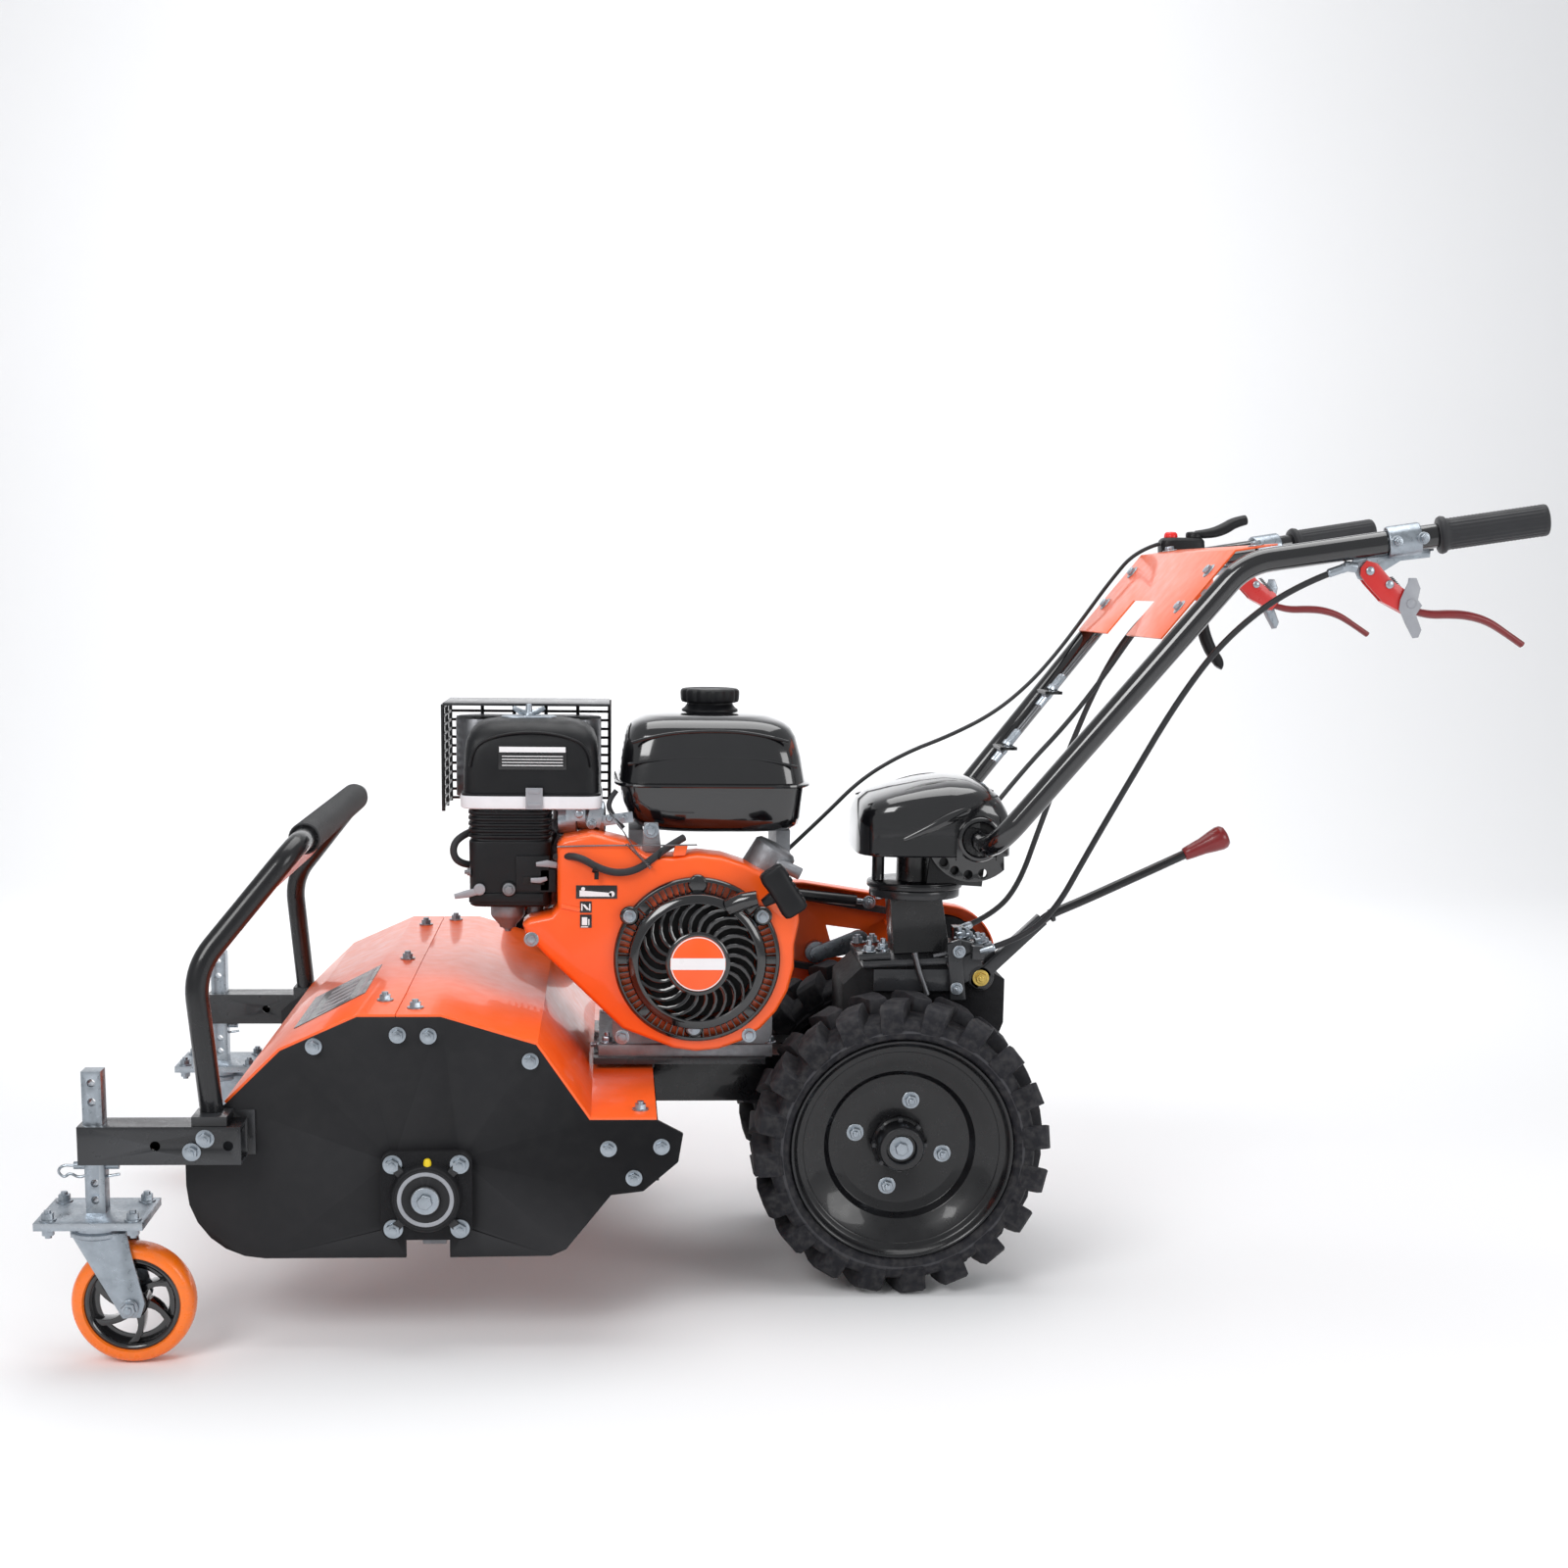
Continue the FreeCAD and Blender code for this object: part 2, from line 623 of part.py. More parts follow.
# ---------------------------------------------------------------- casters
def caster(name, side):
    y = f"{side} * {ARM_Y}"
    y_value = side * s.arm_y
    top = s.caster_plate_top
    stem = block(("stem_x", y, "(stem_top + caster_plate_top) / 2"),
                 ("stem_size", "stem_size", "stem_top - caster_plate_top"))
    hole_heights = [s.stem_top - 12, s.stem_top - 32, s.arm_z - s.arm_size / 2 - 22,
                    s.arm_z - s.arm_size / 2 - 40]
    holes = [rod(("stem_x", y, str(height)), "4.2", "stem_size + 2", "y") for height in hole_heights]
    plate = block(("stem_x", y, "caster_plate_top - 4"),
                  ("caster_plate_length", "caster_plate_width", "8"))
    race = rod(("stem_x", y, "caster_plate_top - 13"), "27", "10", "z")
    socket = rod(("stem_x", y, "caster_plate_top - 15"), "6 + running", "16", "z")
    pin = rod(("stem_x", y, "arm_z - arm_size / 2 - 5.5"), "4", "46", "x")
    bolts = []
    for bolt_x in (-43, 43):
        for bolt_y in (-33, 33):
            spot = at(s.stem_x + bolt_x, y_value + bolt_y, top)
            bolts.append(feature(bolt_head(spot, Vector(0, 0, 1))))
            bolts.append(feature(bolt_head(at(spot.x, spot.y, top - 8), Vector(0, 0, -1))))
    subpart(f"caster_stem_{name}", fuse(cut(fuse(cut(stem, *holes), plate, race), socket), pin, *bolts))
    fork_y = s.caster_width / 2 + 4
    axle = (s.stem_x + s.caster_trail, s.caster_radius)
    crown_z = s.caster_plate_top - 18 - s.gap
    crown = cylinder(at(s.stem_x, y_value, crown_z - 2), 27, 4, "z")
    bridge = cuboid(at(s.stem_x + 4, y_value, crown_z - 2), (56, 2 * fork_y + 3, 4))
    kingpin = cylinder(at(s.stem_x, y_value, crown_z + 4), 6, 12, "z")
    leg_outline = [(s.stem_x - 24, crown_z), (s.stem_x + 32, crown_z), (axle[0] + 15, axle[1] + 4),
                   (axle[0] + 10, axle[1] - 11), (axle[0] - 8, axle[1] - 12)]
    legs = [prism(leg_outline, y_value + d * fork_y - 1.5, y_value + d * fork_y + 1.5) for d in (-1, 1)]
    axle_bolt = cylinder(at(axle[0], y_value, axle[1]), 5, 2 * fork_y + 16, "y")
    heads = [cylinder(at(axle[0], y_value + d * (fork_y + 5), axle[1]), 9, 6, "y") for d in (-1, 1)]
    subpart(f"caster_fork_{name}", feature(join([crown, bridge, kingpin, axle_bolt] + legs + heads)))
    centre = ("stem_x + caster_trail", y, "caster_radius")
    ring = tube(centre, "caster_radius", "caster_radius - 12", "caster_width", "y")
    hub = tube(centre, "caster_radius - 12", "5 + running", "caster_width - 8", "y")
    subpart(f"caster_wheel_{name}", fuse(ring, hub))


# ---------------------------------------------------------------- drive wheels
def drive_wheel(name, side):
    centre_y = side * s.wheel_y
    half = s.tyre_width / 2
    carcass = s.tyre_radius - s.lug_height
    rim = s.rim_radius
    section = [(rim, -half + 6), (rim + 8, -half), (carcass - 10, -half), (carcass, -half + 12),
               (carcass, half - 12), (carcass - 10, half), (rim + 8, half), (rim, half - 6)]
    tyre = turned(section, ("axle_x", f"{side} * wheel_y", AXLE_Z))
    lugs = []
    count = 20
    for i in range(count):
        offset = (half / 2 - 1) * (1 if i % 2 else -1)
        lug = cuboid(at(0, offset, -(carcass - 2 + s.tyre_radius) / 2), (26, half - 4, s.lug_height + 2))
        lug.rotate(Vector(), Vector(0, 1, 0), 360 / count * i)
        lugs.append(lug)
    limit = cylinder(Vector(), s.tyre_radius, 2 * half, "y")
    pattern = Part.makeCompound(lugs).common(limit)
    pattern.translate(at(s.axle_x, centre_y, s.axle_z))
    subpart(f"tyre_{name}", fuse(tyre, feature(pattern)))
    # the disc is dished: stepped rings from the rim seat in to the mounting face
    out = side
    dish = [(20, 8), (58, 8), (64, 14), (88, 22), (96, 32), (110, 34), (116, 40), (rim - s.gap, 42)]
    back = [(rim - s.gap, -half + 8), (rim - 4, -half + 8), (rim - 4, 37), (113, 35), (107, 30), (93, 28),
            (85, 18), (62, 10), (56, 4), (20, 4)]
    profile = [(r, out * u) for r, u in dish + back]
    disc_part = turned(profile, ("axle_x", f"{side} * wheel_y", AXLE_Z))
    hub_length = half + s.wheel_y - s.gearbox_half - 2 - 8
    hub_middle = f"{side} * (gearbox_half + gap + ({hub_length}) / 2)"
    hub = rod(("axle_x", hub_middle, AXLE_Z), "hub_radius", str(hub_length), "y")
    stub = rod(("axle_x", f"{side} * (gearbox_half - 18)", AXLE_Z), "stub_radius", "40", "y")
    bolts = []
    for i in range(4):
        angle = math.radians(76 + 90 * i)
        ring = s.wheel_bolt_circle / 2
        spot = at(s.axle_x + ring * math.cos(angle), centre_y + side * 8,
                  s.axle_z + ring * math.sin(angle))
        bolts.append(feature(bolt_head(spot, Vector(0, side, 0))))
    end = at(s.axle_x, side * (s.gearbox_half + s.gap + hub_length), s.axle_z)
    end_bolt = feature(bolt_head(end, Vector(0, side, 0), 7.5, 6))
    subpart(f"rim_{name}", fuse(disc_part, hub, stub, end_bolt, *bolts))


# ---------------------------------------------------------------- transmission
TENSION_PIVOT = (116, 357)
TENSION_ARM_BACK = 12.5
TENSION_IDLER = (62, 341)
GEAR_PIVOT = (231, 356)


def gearbox():
    """A cast case with the wheels' stub bores, the input bore and a bolted cover's seat."""
    half = s.gearbox_half
    front = s.axle_x - 60
    outline = [(front, 140), (front + 20, 120), (182, 120), (214, 170), (262, 300), (262, 352),
               (226, 372), (92, 366),
               (front, 345)]
    case = prism(outline, -half, half)
    hollow_outline = [(front + 12, 146), (front + 26, 132), (174, 132), (202, 172), (250, 306),
                      (250, 344), (222, 360),
                      (102, 354), (front + 12, 338)]
    hollow = prism(hollow_outline, -half + 20, half - 20)
    case = case.cut(hollow)
    bosses = [cylinder(at(s.axle_x, side * (half - 10), s.axle_z), 36, 20, "y") for side in (-1, 1)]
    case = join([case] + bosses)
    case = case.cut(cylinder(at(s.axle_x, 0, s.axle_z), s.stub_radius + s.running, 2 * half + 4, "y"))
    nose = cylinder(at(s.input_x, half + 6, s.input_z), 22, 14, "y")
    bore = cylinder(at(s.input_x, half, s.input_z), s.input_radius + s.running, 60, "y")
    case = join([case, nose]).cut(bore)
    pin_end = s.travel_belt_y - 6
    arm_pin = cylinder(at(TENSION_PIVOT[0], (half + pin_end) / 2, TENSION_PIVOT[1]), 6, pin_end - half,
                       "y")
    gear_pin = cylinder(at(GEAR_PIVOT[0], -half - 9, GEAR_PIVOT[1]), 6, 18, "y")
    subpart("gearbox_housing", feature(join([case, arm_pin, gear_pin])))


def input_pulley():
    wheel = pulley_shape(at(s.input_x, s.travel_belt_y, s.input_z), s.large_pulley, 20)
    low, high = s.gearbox_half - 22, s.travel_belt_y + 11.5
    shaft = cylinder(at(s.input_x, (low + high) / 2, s.input_z), s.input_radius, high - low, "y")
    subpart("input_pulley", feature(join([wheel, shaft])))


def belt_cover():
    """The cover over the travel belt, open on the side of the pulleys, with its stay on the top plate."""
    inner_y, outer_y = s.travel_belt_y - 14, s.travel_belt_y + 14
    low, high = (s.input_x, s.input_z), (37, 362)
    skin = hull_of_circles(low, 66, high, 72, inner_y, outer_y)
    hollow = hull_of_circles(low, 64, high, 70, inner_y - 2, outer_y - 2)
    front = cuboid(at(-38, s.travel_belt_y, 364), (100, 60, 200))
    window = prism([(76, 374), (121, 368), (114, 330), (88, 332)], inner_y, outer_y + 2)
    stay = prism([(150, 378.5), (175, 379), (175, 383), (150, 382.5)], 40, outer_y - 1)
    subpart("belt_cover", feature(join([skin.cut(hollow).cut(window).cut(front), stay])))


def handle_column():
    """The gearbox's top plate with the column that carries the handle head."""
    top = s.swivel_z - s.gap
    plate = prism([(92, 366.5), (226, 372.5), (226, 380.5), (92, 374.5)], -66, 66)
    shell = prism([(134, 374), (202, 374), (190, top - 10), (128, top - 10)], -26, 26)
    hollow = prism([(138, 377), (198, 377), (187, top - 8), (131, top - 8)], -23, 23)
    flange = cylinder(at(s.swivel_x, 0, top - 5), 54, 10, "z")
    bore = cylinder(at(s.swivel_x, 0, top - 5), s.swivel_pin_radius + s.running, 40, "z")
    shape = join([plate, shell]).cut(hollow)
    subpart("handle_column", feature(join([shape, flange]).cut(bore)))


def tension_arm():
    """The travel belt's tensioner: an arm on the gearbox's side pin, with an idler in the belt loop."""
    y = s.travel_belt_y - TENSION_ARM_BACK
    pivot = at(TENSION_PIVOT[0], y, TENSION_PIVOT[1])
    idler = at(TENSION_IDLER[0], y, TENSION_IDLER[1])
    plate = hull_of_circles((pivot.x, pivot.z), 14, (idler.x, idler.z), 9, y - 2.5, y + 2.5)
    boss = cylinder(at(pivot.x, y + 1.5, pivot.z), 14, 8, "y")
    roller = cylinder(at(idler.x, s.travel_belt_y, idler.z), 14, 14, "y")
    spindle = cylinder(at(idler.x, y + 9, idler.z), 5, 18, "y")
    arm = join([plate, boss, roller, spindle])
    bore = cylinder(pivot, 6 + s.running, 40, "y")
    subpart("tension_arm", feature(arm.cut(bore)))


# ---------------------------------------------------------------- handle head
def handle_turntable():
    """Lower disc, post, top plate and the two tilt lugs, on a pin in the column."""
    disc_low = rod(("swivel_x", "0", "swivel_z + 4"), "54", "8", "z")
    pin = rod(("swivel_x", "0", "swivel_z - 8"), "swivel_pin_radius", "20", "z")
    post = rod(("swivel_x", "0", "swivel_z + 26"), "22", "40", "z")
    small = rod(("swivel_x - 44", "0", "swivel_z + 26"), "7.5", "40", "z")
    top = block(("swivel_x + 2", "0", "swivel_z + 45"), ("112", "64", "6"))
    lugs = []
    for side in (-1, 1):
        outline = [(s.swivel_x + 10, s.swivel_z + 8), (s.tilt_x + 14, s.swivel_z + 4),
                   (s.tilt_x + 20, s.tilt_z),
                   (s.tilt_x + 8, s.tilt_z + 20), (s.tilt_x - 12, s.tilt_z + 20), (s.swivel_x + 14,
                                                                                   s.swivel_z + 48)]
        lug = prism(outline, side * 30 - 3, side * 30 + 3)
        hole = cylinder(at(s.tilt_x, 0, s.tilt_z), s.bar_radius + s.running, 100, "y")
        lugs.append(feature(lug.cut(hole)))
    subpart("handle_turntable", fuse(disc_low, pin, post, small, top, *lugs))


def handle_cover():
    """The domed plastic cover over the head, open below and at the bar's side holes."""
    swivel = (s.swivel_x, s.swivel_z)
    side = around(swivel, [(-76, 45), (-68, 101), (-20, 125), (45, 135), (90, 110), (102, 90), (102, 48)])
    inner = around(swivel, [(-73, 42), (-65, 98), (-19, 122), (44, 132), (88, 108), (99, 88), (99, 42)])
    skin = prism(side, -86, 86).cut(prism(inner, -83, 83))
    rear = prism(around(swivel, [(40, 25), (40, 93), (130, 93), (130, 25)]), -60, 60)
    hole = cylinder(at(s.tilt_x, 0, s.tilt_z), s.bar_radius + 6, 200, "y")
    slot = cuboid(at(s.tilt_x, 0, s.tilt_z - 22), (2 * s.bar_radius + 12, 200, 44))
    subpart("handle_cover", feature(skin.cut(rear).cut(hole).cut(slot)))


# ---------------------------------------------------------------- engine
def crankcase():
    """Crankcase and base flange; the crank's bore runs through the belt side."""
    base = cuboid(at(s.crank_x - 10, 0, s.engine_base_z + 7), (202, 200, 14))
    case = cuboid(at(s.crank_x - 2, 0, (s.engine_base_z + 455) / 2 + 5),
                  (186, 186, 455 - s.engine_base_z - 10))
    edges = [e for e in case.Edges if abs(e.tangentAt(0).y) > 0.9]
    case = case.makeFillet(18, edges)
    nose = cylinder(at(s.crank_x, 98, s.crank_z), 44, 14, "y")
    hollow = cuboid(at(s.crank_x - 2, 0, 370), (160, 160, 140))
    bore = cylinder(at(s.crank_x, 90, s.crank_z), s.crank_radius + s.running, 60, "y")
    fan_bore = cylinder(at(s.crank_x, -90, s.crank_z), s.crank_radius + s.running, 30, "y")
    pylons = [cuboid(at(x, -14, 492), (16, 120, 76)) for x in (-175, -5)]
    shape = join([base, case, nose] + pylons).cut(hollow).cut(bore).cut(fan_bore)
    subpart("engine_block", feature(shape))


def cylinder_and_head():
    """The inclined cylinder with its cooling fins and rocker cover, 25 degrees above level."""
    fins = []
    core = cuboid(at(0, 0, 0), (92, 78, 78))
    for i in range(8):
        fins.append(cuboid(at(-38 + 10 * i, 0, 0), (3.5, 108, 100)))
    cover = rounded_box(at(56, 0, 0), (20, 84, 84), 8)
    shape = join([core, cover] + fins)
    shape = shape.cut(cylinder(at(0, 0, 0), 33, 80, "x"))
    shape.rotate(Vector(), Vector(0, 1, 0), -(180 - 25))
    shape.translate(at(s.crank_x - 134, 0, s.crank_z + 72))
    keep_out = cuboid(at(s.crank_x - 2, 0, 365), (188, 400, 400))
    subpart("cylinder_head", feature(shape.cut(keep_out)))


def crankshaft():
    """Crank, its two-belt pulley and the fan on the starter side."""
    low, high = 94, s.primary_belt_y + 12
    shaft = cylinder(at(s.crank_x, (low + high) / 2, s.crank_z), s.crank_radius, high - low, "y")
    inner = cylinder(at(s.crank_x, 10, s.crank_z), s.crank_radius, 200, "y")
    travel = pulley_shape(at(s.crank_x, s.travel_belt_y, s.crank_z), s.large_pulley, 20)
    primary = pulley_shape(at(s.crank_x, s.primary_belt_y, s.crank_z), s.large_pulley, 20)
    fan_stub = cylinder(at(s.crank_x, -110, s.crank_z), s.crank_radius, 60, "y")
    fan = cylinder(at(s.crank_x, -128, s.crank_z), 80, 16, "y")
    throw = cylinder(at(s.crank_x, 0, s.crank_z), 40, 60, "y")
    subpart("crankshaft", feature(join([shaft, inner, travel, primary, fan_stub, fan, throw])))


def fan_shroud():
    """The painted blower housing round the fan, carried up over the cylinder."""
    y_front, y_back = -152, -97
    crank = (s.crank_x, s.crank_z)
    outline = around(crank, [(-155, 140), (-94, 140), (47, 77), (47, -53), (-43, -93), (-123, -64),
                             (-188, 14),
                             (-183, 32), (-155, 47)])
    round_part = cylinder(at(s.crank_x, (y_front + y_back) / 2, s.crank_z), s.shroud_radius,
                          y_back - y_front, "y")
    shape = join([round_part, prism(outline, y_front, y_back)])
    hollow_outline = around(crank, [(-151, 136), (-96, 136), (43, 73), (43, -49), (-43, -88),
                                    (-121, -60), (-183, 15),
                                    (-179, 29), (-151, 44)])
    hollow = join([
        cylinder(at(s.crank_x, (y_front + y_back) / 2 + 3, s.crank_z), s.shroud_radius - 3,
                 y_back - y_front, "y"),
        prism(hollow_outline, y_front + 3, y_back + 3),
    ])
    mouth = cylinder(at(s.crank_x, y_front, s.crank_z), 84, 20, "y")
    ledge = cuboid(at(s.crank_x, -120, s.engine_base_z + 3), (260, 100, 26))
    subpart("fan_shroud", feature(shape.cut(hollow).cut(mouth).cut(ledge)))


def recoil_cover():
    """The starter's cover: a ring on the shroud, a slatted dish and the rope's nose."""
    face = -152
    ring = cylinder(at(s.crank_x, face - 8, s.crank_z), 93, 16, "y")
    dish = cylinder(at(s.crank_x, face - 22, s.crank_z), 72, 14, "y")
    hollow = cylinder(at(s.crank_x, face - 6, s.crank_z), 82, 14, "y")
    slats = []
    for i in range(24):
        slot = cuboid(at(50, -182, 0), (30, 60, 4))
        slot.rotate(Vector(), Vector(0, 1, 0), 15 * i)
        slot.translate(at(s.crank_x, 0, s.crank_z))
        slats.append(slot)
    nose = cuboid(at(s.crank_x + 44, face - 23, s.crank_z + 72), (40, 14, 18))
    shape = join([ring, dish, nose]).cut(hollow).cut(Part.makeCompound(slats))
    subpart("recoil_cover", feature(shape))


def pull_handle():
    grip = rounded_box(at(0, 0, 0), (22, 20, 58), 7)
    stem = cylinder(at(-17, 0, 0), 6, 12, "x")
    shape = join([grip, stem])
    shape.rotate(Vector(), Vector(0, 1, 0), 22)
    shape.translate(at(-14, -182, 478))
    subpart("pull_handle", feature(shape))


def fuel_tank():
    """Pressed tank with a seam flange, a tapered pan below and the filler neck."""
    x, y, z = -88.0, -14.0, s.tank_z
    length, depth = s.tank_length, s.tank_depth
    flange = rounded_box(at(x, y, z), (length, depth, 4), 24)
    upper = rounded_box(at(x - 2, y, z + 37), (length - 30, depth - 24, 74), 30)
    roof = [e for e in upper.Edges if e.BoundBox.ZMin > z + 70]
    upper = upper.makeFillet(14, roof)
    lower = rounded_box(at(x, y, z - 28), (length - 26, depth - 22, 56), 26)
    neck = cylinder(at(x, 0, z + 77), 24, 10, "z")
    shape = join([flange, upper, lower, neck])
    hollow = rounded_box(at(x - 1, y, z + 4), (length - 52, depth - 44, 108), 20)
    mouth = cylinder(at(x, 0, z + 60), 20, 60, "z")
    subpart("fuel_tank", feature(shape.cut(hollow).cut(mouth)))
    cap = cylinder(at(x, 0, z + 91), s.cap_radius, 17, "z")
    rim = [e for e in cap.Edges if abs(e.BoundBox.ZMin - (z + 99.5)) < 0.1 and abs(e.BoundBox.ZLength) < 0.1]
    cap = cap.makeFillet(4, rim)
    collar = cylinder(at(x, 0, z + 84), 28, 14, "z").cut(cylinder(at(x, 0, z + 80), 24 + s.gap, 10, "z"))
    collar = collar.cut(cylinder(at(x, 0, z + 70), 60, 13, "z"))
    subpart("fuel_cap", feature(join([cap.cut(cylinder(at(x, 0, z + 80), 24 + s.gap, 6, "z")), collar])))


def air_cleaner():
    low = 572.0
    cover = rounded_box(at(-294, -65, low + 42), (152, 118, 84), 26)
    roof = [e for e in cover.Edges if e.BoundBox.ZMin > low + 80]
    cover = cover.makeFillet(20, roof)
    hollow = rounded_box(at(-294, -65, low + 38), (146, 112, 84), 23)
    knob = cylinder(at(-299, -65, low + 92), 9, 16, "z")
    wings = cuboid(at(-299, -65, low + 96), (34, 5, 12))
    subpart("air_cleaner_cover", feature(join([cover.cut(hollow), knob, wings])))
    band = rounded_box(at(-294, -65, 565.5), (156, 122, 13), 27)
    latch = cuboid(at(-272, -127, 568), (24, 4, 22))
    subpart("air_cleaner_base", feature(join([band, latch])))


def intake():
    """The black intake duct below the air cleaner, with the carburettor's bowl under it."""
    body = rounded_box(at(-318, -93, 503), (96, 62, 112), 12)
    ribs = [rounded_box(at(-318, -93, 480 + 14 * i), (102, 66, 4), 12) for i in range(5)]
    choke_bore = cylinder(at(-352, -122, 468), 3 + s.running, 6, "y")
    subpart("intake_cover", feature(join([body] + ribs).cut(choke_bore)))
    choke = at(-352, -128, 468)
    bowl = cylinder(at(-327, -95, 433), 20, 28, "z")
    cone = Part.makeCone(10, 20, 9, at(-327, -95, 410))
    drain = cylinder(at(-327, -95, 407), 6, 6, "z")
    valve = cylinder(at(-291, -84, 436), 11, 22, "z")
    subpart("carburettor", feature(join([bowl, cone, drain]).fuse(valve)))
    hub = cylinder(choke, 6, 6, "y")
    arm = cuboid(choke + Vector(-12, -1.5, -6), (32, 3, 9))
    pin = cylinder(choke + Vector(0, 4, 0), 3, 6, "y")
    subpart("choke_lever", feature(join([hub, arm]).fuse(pin)))


def exhaust():
    can = rounded_box(at(-303, 65, 604), (172, 104, 92), 30)
    rim = cuboid(at(-303, 65, 604), (174, 3, 94))
    pipe = cylinder(at(-262, 68, 540), 13, 44, "z")
    elbow = cuboid(at(-262, 64, 512), (34, 16, 30))
    shape = join([can, rim, pipe, elbow])
    hollow = rounded_box(at(-303, 65, 604), (166, 98, 86), 27)
    subpart("muffler", feature(shape.cut(hollow)))
    bars = []
    x_low, x_high, z_low, z_high, y_face = -402.0, -206.0, 542.0, 668.0, 127.0
    bars.append(cuboid(at((x_low + x_high) / 2, 66, z_high), (x_high - x_low, 124, 3)))
    for i in range(12):
        z = z_low + 4 + i * (z_high - z_low - 8) / 11
        bars.append(cylinder(at((x_low + x_high) / 2 + 0.5, y_face, z), 1.7, x_high - x_low - 1, "x"))
        bars.append(cylinder(at(x_low, 65.5, z), 1.7, 121, "y"))
    for i in range(6):
        x = x_low + i * (x_high - x_low) / 5
        bars.append(cylinder(at(x, y_face, (z_low + z_high) / 2), 2.2, z_high - z_low, "z"))
    for y in (7.0, 66.0):
        bars.append(cylinder(at(x_low, y, (z_low + z_high) / 2), 2.2, z_high - z_low, "z"))
    stay = cuboid(at(-262, 122, 604), (20, 10, 4))
    subpart("muffler_guard", feature(join(bars + [stay])))


# ---------------------------------------------------------------- handlebar and controls
def bar_points(side):
    return [at(s.bar_end_x, side * s.bar_end_y, s.bar_end_z),
            at(s.bar_bend_x, side * s.bar_bend_y, s.bar_bend_z),
            at(s.tilt_x, side * s.bar_low_y, s.tilt_z)]


def bar_at(side, x):
    """A point on the bar's upper run."""
    end, bend = bar_points(side)[:2]
    share = (x - bend.x) / (end.x - bend.x)
    return bend + (end - bend) * share


BAR_RADII = [70, 42, 42, 70]


def handlebar():
    points = bar_points(-1) + bar_points(1)[::-1]
    path, outer = swept(points, BAR_RADII, s.bar_radius)
    bore = swept(points, BAR_RADII, s.bar_radius - s.bar_wall)[1]
    print("handlebar volume ratio", round(outer.Volume / (path.Length * math.pi * s.bar_radius ** 2), 4))
    quadrants = []
    for side in (-1, 1):
        y = side * 43
        plate = cylinder(at(s.tilt_x, y, s.tilt_z), s.quadrant_radius + 9, 5, "y")
        wedge = prism([(s.tilt_x - 16, s.tilt_z + 30), (s.tilt_x - 80, s.tilt_z - 26),
                       (s.tilt_x - 48, s.tilt_z - 80),
                       (s.tilt_x + 40, s.tilt_z - 80), (s.tilt_x + 34, s.tilt_z + 30)], y - 3, y + 3)
        top_cut = cuboid(at(s.tilt_x, y, s.tilt_z + 50), (200, 10, 68))
        holes = []
        for angle in (223, 243, 264, 285):
            turn = math.radians(angle)
            spot = at(s.tilt_x + s.quadrant_radius * math.cos(turn), y,
                      s.tilt_z + s.quadrant_radius * math.sin(turn))
            holes.append(cylinder(spot, 5.2, 12, "y"))
        quadrants.append(plate.common(wedge).cut(top_cut).cut(Part.makeCompound(holes)))
    tabs = []
    for share in (0.28, 0.5):
        low, high = bar_points(1)[2], bar_points(1)[1]
        spot = low + (high - low) * share
        tabs.append(cuboid(at(spot.x, spot.y - 34, spot.z), (22, 52, 4)))
    frame = join([outer] + quadrants + tabs)
    subpart("handlebar", feature(frame.cut(bore)))


def grips():
    solids = []
    for side in (-1, 1):
        end, bend = bar_points(side)[:2]
        way = (end - bend).normalize()
        sleeve = Part.makeCylinder(s.grip_radius, s.grip_length, end - way * (s.grip_length - 4), way)
        bore = Part.makeCylinder(s.bar_radius, s.grip_length, end - way * s.grip_length, way)
        collar = Part.makeCylinder(s.grip_radius + 2.5, 7, end - way * (s.grip_length - 4), way)
        solids.append(sleeve.fuse(collar).cut(bore).removeSplitter())
    subpart("grips", feature(Part.makeCompound(solids)))


def console():
    """The bent sheet across the bars below the grips, with the safety lever's bracket under it."""
    end, bend, low = bar_points(1)
    run = (at(bend.x - low.x, 0, bend.z - low.z)).normalize()
    top = (at(end.x - bend.x, 0, end.z - bend.z)).normalize()
    lift = s.bar_radius + s.gap
    normal_run, normal_top = Vector(-run.z, 0, run.x), Vector(-top.z, 0, top.x)
    corner_way = (normal_run + normal_top).normalize()
    corner = at(bend.x, 0, bend.z) + corner_way * (lift / corner_way.dot(normal_run))
    first = corner - run * 122
    last = corner + top * 46
    line = [(first.x, first.z), (corner.x, corner.z), (last.x, last.z)]
    half = s.bar_bend_y - 13
    sheet_part = folded_sheet(line, 2.0, -half, half)
    notch = cuboid(at(first.x + 8, 0, first.z + 14), (60, 96, 52))
    pivot = safety_pivot()
    cheek_line = around((pivot.x, pivot.z), [(-17, 42), (9, 46), (11, -6), (-9, -10)])
    cheeks = [prism(cheek_line, pivot.y + d - 1.5, pivot.y + d + 1.5) for d in (-9, 9)]
    pin = cylinder(pivot, 4, 22, "y")
    subpart("console", feature(join([sheet_part.cut(notch)] + cheeks + [pin])))


def safety_pivot():
    return at(s.bar_bend_x + 25, 36, s.bar_bend_z - 32)


def hand_lever():
    """The black safety lever that hangs under the console."""
    pivot = safety_pivot()
    hub = cylinder(pivot, 9, 12, "y")
    blade_line = around((pivot.x, pivot.z), [(-6, 2), (6, 0), (29, -64), (33, -90), (23, -94), (13, -70)])
    blade = prism(blade_line, pivot.y - 5, pivot.y + 5)
    bore = cylinder(pivot, 4 + s.running, 30, "y")
    subpart("hand_lever", feature(join([hub, blade]).cut(bore)))


CLUTCH_X = 606.0
CLUTCH_DROP = 27.0


